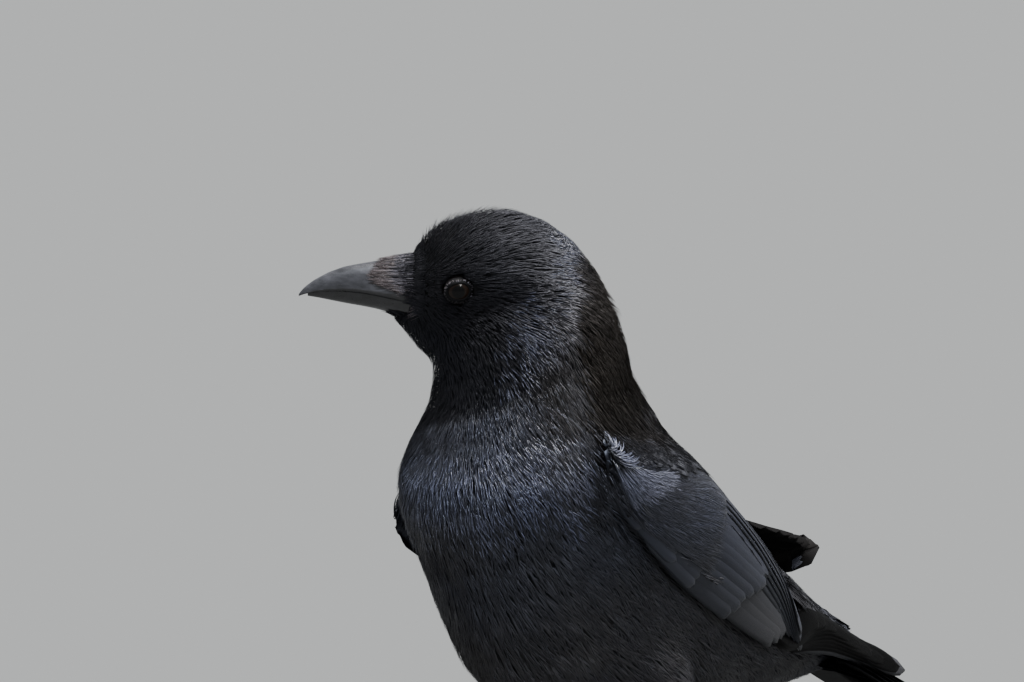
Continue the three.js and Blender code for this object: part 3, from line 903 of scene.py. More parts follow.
def soft_size(points):
    """1 at the bill, growing along the head, neck and body, to scale feathers by."""
    away = from_bill(points)
    size = 1 + 1.5 * smooth(away, 3, 42) + 2.6 * smooth(away, 38, 125)
    return mix(size, 3.0, smooth(0.112 - points[:, 2], 0, 0.03))


def on_wing(points):
    """How far behind the wing's front, and down its face, each point on a wing is.

    u and v are as in Sheet, and u is -1 for the points that are not on a wing.
    """
    u, v = np.full(len(points), -1.0), np.zeros(len(points))
    for side in SIDES:
        here_u, here_v, away = SHEETS[side][0].find(points)
        near = away < 4.5
        u, v = np.where(near, here_u, u), np.where(near, here_v, v)
    return u, v


def small_coverts(points):
    """1 along the very front of a wing and the shoulder over it, where small feathers lie."""
    u, v = on_wing(points)
    end = 0.05 + 0.25 * smooth(0.24 - v, 0, 0.16)
    return (u >= 0) & (u < end)


COVERED = 9.0  # how near over the body, in mm, a wing hides its feathers
NEAR_QUILLS = 2.2  # how near the large feathers, in mm, none of the body's own grow
SHOULDER_HEIGHT = 0.225  # above this no wing lies over the body


def hidden(points):
    """1 where a wing hides the body or its own large feathers lie, 0 elsewhere."""
    u, _ = on_wing(points)
    small = small_coverts(points)
    found, normal, _ = body.nearest(points)
    at_end = (points[:, 1] > HIND) & (normal @ TAIL_AXIS > 0.45)
    under = np.where((u >= 0) & ~small | at_end, 1, 0)
    for number in np.nonzero((u < 0) & (points[:, 2] < SHOULDER_HEIGHT))[0]:
        place, way = Vector(found[number]), Vector(normal[number])
        if quill_tree.find_nearest(place)[3] < NEAR_QUILLS * MM:
            under[number] = 1
        if wing_tree.ray_cast(place + way * 0.8 * MM, way, COVERED * MM)[0] is not None:
            under[number] = 1
    return under


def open_skin(points):
    """Places that carry no feather: round the eyes and under the bill."""
    ahead, _, above = in_head(points)
    front = np.where(above < -9, 26.0, FACE_FRONT + 4.0)
    return (from_eye(points) < 6.7) | (ahead > front)


def upper_side(points):
    """1 on the mantle, back and rump, where the feathers are firm and smooth, and 0 elsewhere."""
    down = below_head(points)
    _, normal, _ = body.nearest(points)
    facing = normal @ unit(np.array((0.0, 0.55, 0.83)))
    return smooth(down, 22, 42) * smooth(facing, 0.15, 0.45)


def fanned(roots, count, spread, step, rng):
    """Repeats each root count times, side by side, each turned a little outwards."""
    owner = np.repeat(np.arange(len(roots)), count)
    first = np.cumsum(count) - count
    place = (np.arange(len(owner)) - first[owner]) - (count[owner] - 1) / 2
    fan = place / np.maximum((count[owner] - 1) / 2, 1)
    root = roots[owner]
    _, normal, _ = body.nearest(root)
    way = flat_to(flow(root), normal)
    side = np.cross(way, normal)
    bend = 0.13 * waves(roots, 0.022, 1)[owner]
    turn = bend + spread * fan + rng.normal(0, 0.07, len(root))
    turned = way * np.cos(turn)[:, None] + side * np.sin(turn)[:, None]
    return owner, fan, root + side * (place * step[owner])[:, None], turned


def tones(rng, usual, spread, count):
    return np.clip(rng.normal(usual, spread, count), 0, 1)


def feather_tone(roots, rng):
    return np.clip(0.5 + 0.2 * rng.normal(size=len(roots)) + 0.2 * waves(roots, 0.03, 4), 0, 1)


# Where the rings of each kind of lock are, from its root to its tip, and how wide it is there.
LOCK_RINGS = np.array((0.0, 0.36, 0.72, 1.0))
LOCK_SHAPE = np.array((0.6, 1.0, 0.75, 0.1))
BARB_RINGS = np.array((0.0, 0.5, 1.0))
BARB_SHAPE = np.array((0.6, 1.0, 0.1))
BRISTLE_RINGS = np.array((0.0, 0.2, 0.4, 0.6, 0.8, 1.0))
BRISTLE_SHAPE = np.array((0.8, 1.0, 1.0, 0.9, 0.65, 0.2))
MOST_TRIANGLES = 190000
LEAST_STRAIGHT = 0.86  # feathers that curl more than this round an edge are left out


def add_strands(coat, lie, width, arch, most, rng, power=1.0):
    """Adds bristle-like locks, width the least and most half width in mm, most the palest tone."""
    count = len(lie.path)
    half = rng.uniform(*width, count)[:, None] * MM * BRISTLE_SHAPE
    coat.add(lie, half, 3, arch, rng.uniform(0.0, most, count) ** power)


def lay_strands(coat, surface, root, ends, length, depth, lift, *looks):
    lie = lay(surface, root, ends - root, length, BRISTLE_RINGS, depth, lift)
    add_strands(coat, lie, *looks)


def add_pieces(name, look, slot, lie, half, across, arch, tone):
    """Feathers as one or more pieces, each of which keeps under the limit on triangles."""
    straight = np.linalg.norm(lie.path[:, -1] - lie.path[:, 0], axis=-1) / lie.length
    kept = np.nonzero(straight > LEAST_STRAIGHT)[0]
    lie, half, tone = lie.some(kept), half[kept], tone[kept]
    triangles = (half.shape[1] - 1) * across * 2 + 2 * (across - 2)
    count = max(1, math.ceil(len(half) * triangles / MOST_TRIANGLES))
    order = np.argsort(-lie.path[:, 0, 2], kind="stable")
    for number, part in enumerate(np.array_split(order, count)):
        coat = Plumage(f"{name}_{number + 1}", look, slot)
        coat.add(lie.some(part), half[part], across, arch, tone[part])
        coat.finish()


def add_parted(names, look, slot, nape, lie, half, arch, tone):
    """Locks as two coats, of which the second is the nape's."""
    for name, look, part in ((names[0], look, ~nape), (names[1], NAPE_LOOK, nape)):
        part = np.nonzero(part)[0]
        add_pieces(name, look, slot, lie.some(part), half[part], 3, arch, tone[part])


EAR_MIDDLE = (-13.0, -5.0)  # ahead of the eyes and above them, in mm
EAR_REACH = (17.0, 11.0)


def ear_share(points):
    """0 at the middle of the ear coverts, 1 at their edge, and more outside them."""
    ahead, left, above = in_head(points)
    along = (ahead - EAR_MIDDLE[0]) / EAR_REACH[0]
    over = (above - EAR_MIDDLE[1] + 0.25 * (ahead - EAR_MIDDLE[0])) / EAR_REACH[1]
    return np.hypot(along, over) + np.where(np.abs(left) < 12, 2.0, 0.0)


def make_head_feathers():
    """Fine hair-like locks of the head, tiny on the face and longer to the nape and throat."""
    rng = np.random.default_rng(3)

    def spacing(points):
        down = below_head(points)
        grow = smooth(from_bill(points), 4, 48)
        gap = mix(1.25, 2.5, grow) * MM
        return np.where(open_skin(points) | (down > 26), 0, gap)

    roots = body.scatter(spacing, rng)
    grow = smooth(from_bill(roots), 4, 48)
    count = np.round(mix(4, 9, grow)).astype(int)
    wide = mix(0.65, 1.5, grow) * MM
    owner, fan, root, way = fanned(roots, count, 0.20, wide * 2 / count, rng)
    ear = ear_share(roots)
    in_ear = 1 - smooth(ear, 0.75, 1.0)
    ear_edge = smooth(ear, 0.7, 0.9) * (1 - smooth(ear, 1.0, 1.2))
    ahead, _, above = in_head(roots)
    ear_edge = ear_edge * smooth(-ahead, 14, 22) * (above < 2)
    brow = smooth(ahead, -22, 4) * smooth(above, 7, 17)
    tuft = smooth(-ahead, 33, 38) * bell(below_head(roots), 1, 6)
    swell = 0.35 + 2.8 * brow + 2.4 * tuft
    swell = swell * rng.random(len(roots)) + 0.5 * ear_edge
    swell = swell * (1 - 0.8 * in_ear)
    length = mix(3.4, 10.5, grow) * (1 - 0.25 * in_ear)
    length = length[owner] * (1 - 0.25 * fan**2) * MM * rng.uniform(0.75, 1.2, len(root))
    lift = (swell[owner] * (1 - 0.5 * fan**2) + 0.15 * rng.random(len(root))) * MM
    depth = coat_depth(root) * rng.uniform(0.5, 0.9, len(root))
    half = mix(0.19, 0.27, grow)[owner] * MM * rng.uniform(0.75, 1.25, len(root))
    # The lifted rim of the ear coverts is made paler, a painted highlight, and the coverts inside it
    # darker.
    tone = feather_tone(roots, rng) - 0.35 * in_ear + 0.5 * ear_edge
    # Painted shade: the face ahead of the eyes is made darker; the same lower tone also makes it rougher.
    tone = tone - 0.3 * smooth(ahead, -18, -4)
    tone = np.clip(tone[owner] + rng.normal(0, 0.1, len(root)), 0, 1)
    lie = lay(body, root, way, length, LOCK_RINGS, depth, lift)
    shape = half[:, None] * LOCK_SHAPE
    names = "head_feathers", "nape_feathers"
    add_parted(names, SOFT_LOOK, "plumage_soft", on_nape(roots)[owner], lie, shape, 0.3, tone)


def make_painted_sheen():
    """Ruffled tips of feathers that stand up a little and catch the light, coloured paler and bluer as a
    painted highlight.
    """
    rng = np.random.default_rng(41)

    def spacing(points):
        share = painted_sheen_share(points)
        bare = open_skin(points) | (share < 0.15) | on_nape(points)
        return np.where(bare, 0, 2.1 * MM / np.sqrt(np.maximum(share, 0.1)))

    roots = body.scatter(spacing, rng)
    roots = roots[hidden(roots) < 0.5]
    size = smooth(below_head(roots), -10, 40)
    count = np.full(len(roots), 4)
    owner, _, root, way = fanned(roots, count, 0.22, mix(0.5, 0.9, size) * MM, rng)
    grow = size[owner]
    length = mix(6.0, 11.0, grow) * rng.uniform(0.7, 1.15, len(root)) * MM
    lift = mix(0.35, 1.1, grow) * rng.uniform(0.3, 1.3, len(roots))[owner] * MM
    depth = coat_depth(root) * rng.uniform(0.3, 0.6, len(root))
    half = mix(0.17, 0.26, grow) * rng.uniform(0.75, 1.25, len(root)) * MM
    tone = tones(rng, 0.4, 0.3, len(root))
    lie = lay(body, root, way, length, LOCK_RINGS, depth, lift)
    shape = half[:, None] * LOCK_SHAPE
    add_pieces("sheen_feathers", PAINTED_SHEEN_LOOK, "plumage_soft", lie, shape, 3, 0.3, tone)


VANE_RINGS = np.array((0.0, 0.25, 0.5, 0.72, 0.88, 1.0))
VANE_SHAPE = np.array((0.35, 0.85, 1.0, 0.92, 0.66, 0.14))
VANE_ACROSS = 5


def make_contour_feathers(name, wanted, looks, slot, vane, fringe, seed):
    """Feathers of the neck and body: a thin vane each, with a fringe of fine locks over it."""
    rng = np.random.default_rng(seed)

    def spacing(points):
        return np.where(wanted(points), vane["size"](points) * vane["gap"] * MM, 0)

    roots = body.scatter(spacing, rng)
    roots = roots[hidden(roots) < 0.5]
    size = vane["size"](roots)
    one = np.ones(len(roots), int)
    _, _, root, way = fanned(roots, one, 0.0, size * 0, rng)
    length = vane["length"] * size * MM * rng.uniform(0.85, 1.15, len(roots))
    depth = coat_depth(root) * 0.8
    lift = -vane["sink"] * MM * rng.uniform(0.8, 1.2, len(roots))
    half = vane["half"] * size * MM * rng.uniform(0.85, 1.15, len(roots))
    tone = 0.5 + vane["uneven"] * (feather_tone(roots, rng) - 0.5)
    lie = lay(body, root, way, length, VANE_RINGS, depth, lift)
    shape = half[:, None] * VANE_SHAPE * rng.uniform(0.93, 1.07, (len(roots), len(VANE_SHAPE)))
    add_pieces(name + "_vanes", looks[0], slot, lie, shape, VANE_ACROSS, vane["arch"], tone)
    count = np.clip(np.round(size * fringe["count"]), 5, fringe["most"]).astype(int)
    step = vane["size"](roots) * fringe["wide"] * 2 * MM / count
    start = roots + way * (length * fringe["start"])[:, None]
    owner, fan, root, way = fanned(start, count, fringe["spread"], step, rng)
    length = length[owner] * fringe["length"] * (1 - 0.2 * fan**2) * rng.uniform(0.7, 1.15, len(root))
    lift = ((fringe["lift"] * rng.random(len(roots)))[owner] * (1 - 0.6 * fan**2) + 0.05) * MM
    lift = lift + 0.2 * MM * rng.random(len(root))
    depth = coat_depth(root) * 0.35
    half = fringe["half"] * size[owner] ** 0.5 * MM * rng.uniform(0.7, 1.3, len(root))
    lie = lay(body, root, way, length, BARB_RINGS, depth, lift)
    shape = half[:, None] * BARB_SHAPE
    tone = np.clip(tone[owner] + rng.normal(0, fringe["uneven"], len(root)), 0, 1)
    names = name + "_barbs", name + "_nape_barbs"
    add_parted(names, looks[1], slot, on_nape(roots)[owner], lie, shape, 0.28, tone)


def loose_part(points):
    plain = (below_head(points) > 18) & (upper_side(points) < 0.5)
    return ~open_skin(points) & plain & ~small_coverts(points)


def firm_part(points):
    firm = (below_head(points) > 18) & (upper_side(points) >= 0.5)
    return ~open_skin(points) & (firm | small_coverts(points))


def firm_size(points):
    """Smaller over the wing's bend than on the back."""
    u, _ = on_wing(points)
    at_wing = mix(2.3, 3.8, smooth(u, 0.02, 0.3))
    return np.where(u >= 0, at_wing, soft_size(points))


LOOSE_LOOKS = (UNDER_LOOK, SOFT_LOOK)  # of the vanes and of their fringes
FIRM_LOOKS = (FIRM_LOOK, FIRM_LOOK)
LOOSE_VANE = dict(
    size=soft_size, gap=0.95, length=4.6, half=0.62, sink=0.9, arch=0.06, uneven=1.0
)
LOOSE_FRINGE = dict(
    count=3.6, most=16, start=0.15, length=1.15, spread=0.26, wide=0.8, lift=0.7, half=0.18, uneven=0.12
)
FIRM_VANE = dict(
    size=firm_size, gap=0.95, length=6.2, half=1.0, sink=0.3, arch=0.02, uneven=0.4
)
FIRM_FRINGE = dict(
    count=3.6, most=14, start=0.2, length=0.86, spread=0.08, wide=0.95, lift=0.06, half=0.17, uneven=0.08
)


# ---------------------------------------------------------------- wings and tail


def blade(t, blunt):
    """Half width along a wing feather: narrow at its quill, even, then round at its tip."""
    grow = 0.4 + 0.6 * smooth(t, 0.0, 0.22)
    end = np.clip((t - blunt) / (1 - blunt), 0, 1)
    return grow * np.sqrt(np.maximum(1 - end**2, 0.012))


def ring_steps(count):
    """Places of the rings along a feather, closer to each other at its tip."""
    t = np.linspace(0, 1, count)
    return t + 0.16 * np.sin(math.pi * t) * t


def on_sheet(sheet, u, v, high):
    """A Lie from places on a sheet and heights over it in mm, all of them (feathers, rings)."""
    place, normal = sheet.at(u, v)
    path = place + normal * high[..., None] * MM
    ahead = unit(np.gradient(path, axis=1))
    length = np.linalg.norm(np.diff(path, axis=1), axis=-1).sum(1)
    return Lie(path, flat_to(normal, ahead), ahead, length, skin_map(path[:, 0]))


def wing_row(sheet, roots, tips, half, over, rings, blunt):
    """Feathers over a sheet. roots and tips are their u and v, over the heights at both, in mm."""
    t = ring_steps(rings)
    u, v, high = (
        mix(first[:, None], last[:, None], share)
        for first, last, share in zip((*roots, over[0]), (*tips, over[1]), (t, t, t**1.5))
    )
    return on_sheet(sheet, u, v, high), half[:, None] * MM * blade(t, blunt)


WING_RINGS = 16
ARM, HAND = 0, 1  # the sheets of a wing
# The rows of feathers of a folded wing: sheet, coat, how many; u and v on the sheet of the
# roots and of the tips, each from the row's lowest feather to its highest; half width in mm,
# height over the sheet at root and tip in mm, what every next feather adds to it, and where
# along a feather its tip begins to round.
WING_ROWS = (
    (
        HAND, "coverts", 1, ((-0.06, 0.92), (-0.06, 0.92)), ((1.0, 0.66), (1.0, 0.66)),
        5.2, (-2.9, -2.3), 0.24, 0.86,
    ),
    (
        HAND, "quills", 8, ((-0.05, 0.82), (-0.02, 0.12)), ((0.97, 0.52), (0.4, 0.06)),
        5.4, (-2.6, -2.0), 0.24, 0.86,
    ),
    (
        ARM, "coverts", 10, ((0.45, 1.06), (0.36, 0.34)), ((0.82, 1.09), (1.03, 0.5)),
        6.2, (-2.7, -2.2), 0.16, 0.93,
    ),
    (
        ARM, "coverts", 10, ((0.2, 1.07), (0.2, 0.56)), ((0.56, 1.12), (0.74, 0.52)),
        4.3, (-1.7, -1.3), 0.08, 0.92,
    ),
    (
        ARM, "coverts", 8, ((0.3, 0.52), (0.22, 0.08)), ((1.02, 0.74), (0.98, 0.24)),
        7.0, (-1.7, -1.2), 0.18, 0.94,
    ),
    (
        ARM, "small", 13, ((0.13, 1.04), (0.13, 0.4)), ((0.36, 1.1), (0.44, 0.36)),
        3.7, (-1.2, -0.8), 0.04, 0.86,
    ),
    (
        ARM, "small", 11, ((0.22, 0.42), (0.16, 0.03)), ((0.62, 0.44), (0.52, 0.05)),
        4.4, (-1.1, -0.7), 0.05, 0.8,
    ),
    (
        ARM, "small", 14, ((0.06, 0.98), (0.06, 0.4)), ((0.25, 1.05), (0.27, 0.38)),
        3.6, (-1.0, -0.6), 0.02, 0.8,
    ),
    (
        ARM, "small", 12, ((0.08, 0.42), (0.06, 0.03)), ((0.34, 0.42), (0.31, 0.04)),
        3.8, (-1.0, -0.6), 0.02, 0.8,
    ),
    (
        ARM, "small", 16, ((0.0, 0.98), (0.0, 0.03)), ((0.15, 0.98), (0.15, 0.03)),
        4.6, (-1.2, -0.7), 0.0, 0.8,
    ),
)


def make_wing(side):
    """Coverts, tertials, secondaries and primaries of one folded wing."""
    rng = np.random.default_rng(11)
    slot = "plumage_gloss"
    quills = Plumage(f"wing_{side}_primary_feathers", PAINTED_SHADE_QUILL_LOOK, slot, WING_UNDER_LOOK)
    coverts = Plumage(f"wing_{side}_feathers", WING_LOOK, slot, WING_UNDER_LOOK)
    small = Plumage(f"wing_{side}_small_feathers", COVERT_LOOK, slot, WING_UNDER_LOOK)
    coats = {"quills": quills, "coverts": coverts, "small": small}
    for sheet, coat, count, roots, tips, half, over, each, blunt in WING_ROWS:
        root_u, root_v = np.linspace(*roots, count).T
        tip_u, tip_v = np.linspace(*tips, count).T
        root_u = root_u + rng.normal(0, 0.004, count)
        tip_u = tip_u + rng.normal(0, 0.008, count)
        half = half * rng.uniform(0.95, 1.05, count)
        base, top = (height + np.arange(count) * each for height in over)
        ends = (root_u, root_v), (tip_u, tip_v)
        lie, shape = wing_row(SHEETS[side][sheet], *ends, half, (base, top), WING_RINGS, blunt)
        tone = tones(rng, 0.5, 0.2, count)
        coats[coat].add(lie, shape, 7, 0.09, tone, thin=0.25 * MM)
    small.finish()
    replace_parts(coverts.finish(), f"wing_{side}_secondaries")
    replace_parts(quills.finish(), f"wing_{side}_primaries")


def on_arm(side, u, v, high):
    return on_sheet(SHEETS[side][ARM], np.clip(u, -0.04, 1), v, high)


def fold_edge(u):
    """How far down the wing the fold at its front lies, so far behind its front."""
    return 0.32 + 0.65 * np.exp(-np.maximum(u, 0) / 0.035)


FAN_LOCKS, PATCH_LOCKS, COVERT_LOCKS = 90, 1300, 8600  # on each wing


def make_shoulder_tufts():
    """Tips at the front of each wing, coloured pale as a painted highlight: a fan over its fold and a patch
    behind the fold.
    """
    rng = np.random.default_rng(29)
    coat = Plumage("shoulder_tufts", PAINTED_HIGHLIGHT_TUFT_LOOK, "plumage_soft")
    t = np.linspace(0, 1, len(BRISTLE_RINGS))
    for side in SIDES:
        count = FAN_LOCKS
        turn = rng.uniform(0, 1, count)
        reach = rng.uniform(0.5, 1.0, count)
        u = rng.uniform(-0.01, 0.01, count)[:, None] + (reach * mix(0.09, 0.0, turn))[:, None] * t
        rise = (0.46 + 0.16 * turn) * reach
        v = (0.82 - 0.12 * turn)[:, None] - rise[:, None] * t**0.9
        high = rng.uniform(0.3, 1.4, count)[:, None] * np.sin(math.pi * (0.08 + 0.8 * t)) + 0.5
        lie = on_arm(side, u, v, high)
        add_strands(coat, lie, (0.16, 0.28), 0.4, 1.0, rng)
        count = PATCH_LOCKS
        u = rng.uniform(0.0, 0.15, count)
        wide = mix(0.42, 0.12, smooth(u, 0.02, 0.15))
        v = np.minimum(fold_edge(u) + 0.05 + wide * rng.uniform(0.0, 1.0, count) ** 1.4, 0.94)
        lean = rng.normal(0, 0.02, count)[:, None]
        u, v = u[:, None] + t * rng.uniform(0.03, 0.07, count)[:, None], v[:, None] + lean * t
        high = rng.uniform(-0.5, -0.3, count)[:, None] + t * rng.uniform(0.5, 1.1, count)[:, None]
        high = high + 1.3 * (1 - smooth(u, 0.06, 0.13))
        lie = on_arm(side, u, v, high)
        add_strands(coat, lie, (0.14, 0.26), 0.3, 0.9, rng, 1.5)
    coat.finish()


def make_covert_locks():
    """Silky ends of the small coverts, which lie close along the front of each wing."""
    rng = np.random.default_rng(37)
    t = np.linspace(0, 1, len(BARB_RINGS))
    for side in SIDES:
        coat = Plumage(f"wing_{side}_covert_locks", COVERT_LOOK, "plumage_gloss")
        count = COVERT_LOCKS
        v = rng.uniform(0.02, 0.985, count)
        end = 0.33 + 0.10 * smooth(0.5 - v, 0, 0.3)
        u = rng.uniform(-0.02, 1, count) * end
        slit = (np.abs(v - fold_edge(u)) < 0.06 * (1 - u / 0.10)) & (u < 0.10)
        v = np.where(slit, v + 0.09 * np.sign(v - fold_edge(u)), v)
        lean = 0.02 * np.sin(v * 23 + u * 31) + rng.normal(0, 0.008, count)
        u = u[:, None] + t * rng.uniform(0.06, 0.10, count)[:, None]
        v = np.clip(v[:, None] + lean[:, None] * t, 0.01, 0.99)
        high = rng.uniform(-0.5, -0.3, count)[:, None] + t * rng.uniform(0.3, 0.75, count)[:, None]
        lie = on_arm(side, u, v, high)
        half = rng.uniform(0.22, 0.36, count)[:, None] * MM * BARB_SHAPE
        tone = np.clip(0.5 + 0.25 * np.sin(v[:, 0] * 31) * np.sin(u[:, 0] * 47), 0, 1)
        tone = np.clip(tone + rng.normal(0, 0.1, count), 0, 1)
        coat.add(lie, half, 3, 0.25, tone)
        coat.finish()


def tail_coverts(sheet, coat, rng, height, reach, half, spread):
    """Three rows of feathers over the base of the tail, or at its underside."""
    count = 9
    for number, start in enumerate((0.06, -0.02, -0.10)):
        v = np.linspace(0.5 - spread, 0.5 + spread, count) + rng.normal(0, 0.012, count)
        over = [high + 0.3 * number + rng.uniform(-0.2, 0.2, count) for high in height]
        ends = start + reach * rng.uniform(0.85, 1.1, count)
        wide = half * rng.uniform(0.9, 1.1, count)
        tips = ends, 0.5 + (v - 0.5) * 1.1
        lie, shape = wing_row(sheet, (np.full(count, start), v), tips, wide, over, 14, 0.6)
        tone = tones(rng, 0.5, 0.15, count)
        coat.add(lie, shape, 7, 0.12, tone, thin=0.2 * MM)


def make_tail():
    """Twelve tail feathers in a closed fan, each under the one nearer the middle."""
    rng = np.random.default_rng(17)
    sheet = Sheet(["tail"], TAIL_AXIS, UP, rows=14, columns=12)
    coat = Plumage("tail_feathers", PAINTED_SHADE_QUILL_LOOK, "plumage_gloss", WING_UNDER_LOOK)
    place = np.arange(6, 0, -1) - 0.5  # of each feather of a half, from the tail's middle
    for side in (-1, 1):
        roots = 0 * place, 0.5 + side * place * 0.066
        tips = 1.0 - 0.012 * place, 0.5 + side * place * 0.078
        over = -0.9 - 0.55 * place, -0.5 - 0.5 * place
        lie, shape = wing_row(sheet, roots, tips, 11.0 + 0 * place, over, 18, 0.88)
        tone = tones(rng, 0.5, 0.12, len(place))
        coat.add(lie, shape, 5, 0.08, tone, thin=0.3 * MM)
    tail_coverts(sheet, coat, rng, (0.6, 0.5), 0.34, 6.0, 0.30)
    tail_coverts(sheet, coat, rng, (-9.5, -6.0), 0.42, 7.0, 0.34)
    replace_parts(coat.finish(), "tail")


# ---------------------------------------------------------------- bill, eyes and feet


class Spindle:
    """A long solid read as sections: middles, half widths and half heights along its axis."""

    def __init__(self, name, axis, side, count, start=None, back=0.0):
        """Reads sections from start on, and carries them straight on backwards by back."""
        points, ends = edges_of([name])
        self.axis, self.side = axis, side
        self.up = np.cross(axis, side)
        reach = points @ axis
        first = reach.min() + 0.3 * MM if start is None else start
        self.at = np.linspace(first, reach.max() - 0.15 * MM, count)
        rows = []
        for station in self.at:
            cut = section(points, ends, reach, station)
            across, over = cut @ side, cut @ self.up
            rows.append((across.min(), across.max(), over.min(), over.max()))
        left, right, low, high = (ease(np.array(column)) for column in zip(*rows))
        self.middle = (left + right) / 2
        self.half = (right - left) / 2
        self.low, self.high = low, high
        if back:
            self.carry_back(back)

    def carry_back(self, length, steps=6, level=False):
        """Adds sections behind the first one, along its slope or, if level, straight on."""
        more = -length * np.linspace(1, 0, steps, endpoint=False)
        span = self.at[4] - self.at[0]
        for key in ("middle", "half", "low", "high", "at"):
            values = getattr(self, key)
            slope = (values[4] - values[0]) / span
            if level and key != "at":
                slope = 0.0
            setattr(self, key, np.concatenate((values[0] + slope * more, values)))

    def carry_on(self, length, steps=6):
        """Adds sections past the last one, all like it."""
        more = length * np.linspace(0, 1, steps + 1)[1:]
        for key in ("middle", "half", "low", "high", "at"):
            values = getattr(self, key)
            added = values[-1] + (more if key == "at" else 0 * more)
            setattr(self, key, np.concatenate((values, added)))


def ease(values, times=2):
    """Evens out a row of numbers and keeps both of its ends."""
    for _ in range(times):
        values[1:-1] = (values[:-2] + 2 * values[1:-1] + values[2:]) / 4
    return values


def tubes(name, parts, look, values=None):
    """Closed tubes through rings of places, (rings, around, 3) each, as one piece.

    values holds, for each number that the material reads, one array for each tube.
    """
    form = bmesh.new()
    keys = {key: form.verts.layers.float.new(key) for key in values or {}}
    for number, rings in enumerate(parts):
        count, around = rings.shape[:2]
        points = [form.verts.new(p) for p in rings.reshape(-1, 3)]
        for key, layer in keys.items():
            for point, value in zip(points, values[key][number].ravel()):
                point[layer] = value
        grid = [points[k * around : (k + 1) * around] for k in range(count)]
        for low, high in zip(grid, grid[1:]):
            for i in range(around):
                j = (i + 1) % around
                form.faces.new((low[i], low[j], high[j], high[i]))
        form.faces.new(grid[0][::-1])
        form.faces.new(grid[-1])
    bmesh.ops.recalc_face_normals(form, faces=form.faces)
    for face in form.faces:
        face.smooth = True
    mesh = mesh_of(form, name)
    mesh.materials.append(look)
    return piece(name, mesh)


TOES = ("inner", "middle", "outer", "hallux")
TOE_SCUTE = 2.1  # how long each plate on a toe is, in mm
LEG_SCUTE = 4.7  # and on the front of the tarsus


def leg_material():
    """Black scaled skin of legs and toes, greyer and dusty in the furrows between plates."""
    made, tree, shader = material("leg_scale")
    place = node(tree, "TexCoord", {}).outputs["Object"]
    broad = noise(tree, 160.0, 4.0, place).outputs[0]
    fine = node(tree, "TexVoronoi", {"Vector": place, "Scale": 1100.0}).outputs[0]
    blend = math_node(tree, "ADD", value_of(tree, "furrow"), scaled(tree, broad, 0.5, -0.2))
    plate, edge, dust = (0.010, 0.0095, 0.0095), (0.018, 0.0165, 0.016), (0.050, 0.046, 0.043)
    inputs = {
        "Base Color": ramp(tree, blend, ((0.0, plate), (0.35, edge), (1.0, dust))),
        "Roughness": scaled(tree, broad, 0.3, 0.32),
        "Specular IOR Level": 0.35,
        "Normal": bumps(tree, fine, 0.35, 0.0002),
    }
    feed(tree, shader, inputs)
    return made


def long_axis(name, level):
    """The way that a long solid runs; flattened if it lies on the floor."""
    points, _ = edges_of([name])
    points = points - points.mean(0)
    axis = np.linalg.svd(points, full_matrices=False)[2][0]
    return unit(axis * (1, 1, 0)) if level else unit(axis * np.sign(axis[2]))


def digit(name, behind, ahead, count):
    """A toe or claw as a Spindle that lies level and runs from one solid towards another."""
    axis = long_axis(name, True)
    axis = axis * np.sign((middle(ahead) - middle(behind)) @ axis)
    return Spindle(name, axis, np.cross(UP, axis), count)


def plates(at, pitch):
    """Height of overlapping plates along a limb, each lowest at its front edge, and furrows."""
    place = at / (pitch * MM) % 1.0
    swell = np.sin(math.pi * place) ** 0.5
    return swell, bell(np.minimum(place, 1 - place), 0, 0.12)


def toe_rings(side, toe):
    """A toe: plates over its top, pads under its joints, and a flat sole."""
    name = f"toe_{side}_{toe}"
    spindle = digit(name, name, f"claw_{side}_{toe}", 90)
    half, low, high = (ease(v, 3) for v in (spindle.half, spindle.low, spindle.high))
    slope = np.polyfit(spindle.at, half, 1)
    thin = np.clip((np.polyval(slope, spindle.at) - half) * 1.6, 0, 0.7 * MM)
    spindle.low = np.maximum(low, 0.0) + thin
    spindle.carry_back(3.6 * MM)
    spindle.carry_on(2.6 * MM)
    swell, furrow = plates(spindle.at, TOE_SCUTE)
    near_end = np.clip((spindle.at - spindle.at[-1] + 4.5 * MM) / (4.5 * MM), 0, 1)
    shrink = np.sqrt(1 - 0.75 * near_end**2)
    heart = spindle.low + (spindle.high - spindle.low) * mix(0.45, 0.7, near_end)
    spindle.half = spindle.half * shrink
    spindle.low = heart + (spindle.low - heart) * shrink
    spindle.high = heart + (spindle.high - heart) * shrink
    turn = round_turns(28)
    over = np.sin(turn)
    top = smooth(over, 0.15, 0.6)
    half = spindle.half[:, None] * (1 + 0.03 * swell[:, None] * top)
    centre = spindle.low + (spindle.high - spindle.low) * 0.45
    rise = (spindle.high - centre)[:, None] * (0.93 + 0.10 * swell[:, None] * top)
    fall = (centre - spindle.low)[:, None]
    high = np.where(over > 0, over * rise, -np.abs(over) ** 0.6 * fall)
    places = placed(spindle, half * np.cos(turn), centre[:, None] + high, 0.05)
    return places, furrow[:, None] * top


def placed(spindle, across, over, least=0.0):
    """Places round each section of a spindle, so far to its side and so high, over the floor."""
    place = spindle.axis * spindle.at[:, None, None]
    place = place + spindle.side * (spindle.middle[:, None] + across)[..., None]
    place = place + spindle.up * np.broadcast_to(over, across.shape)[..., None]
    place[..., 2] = np.maximum(place[..., 2], least * MM)
    return place


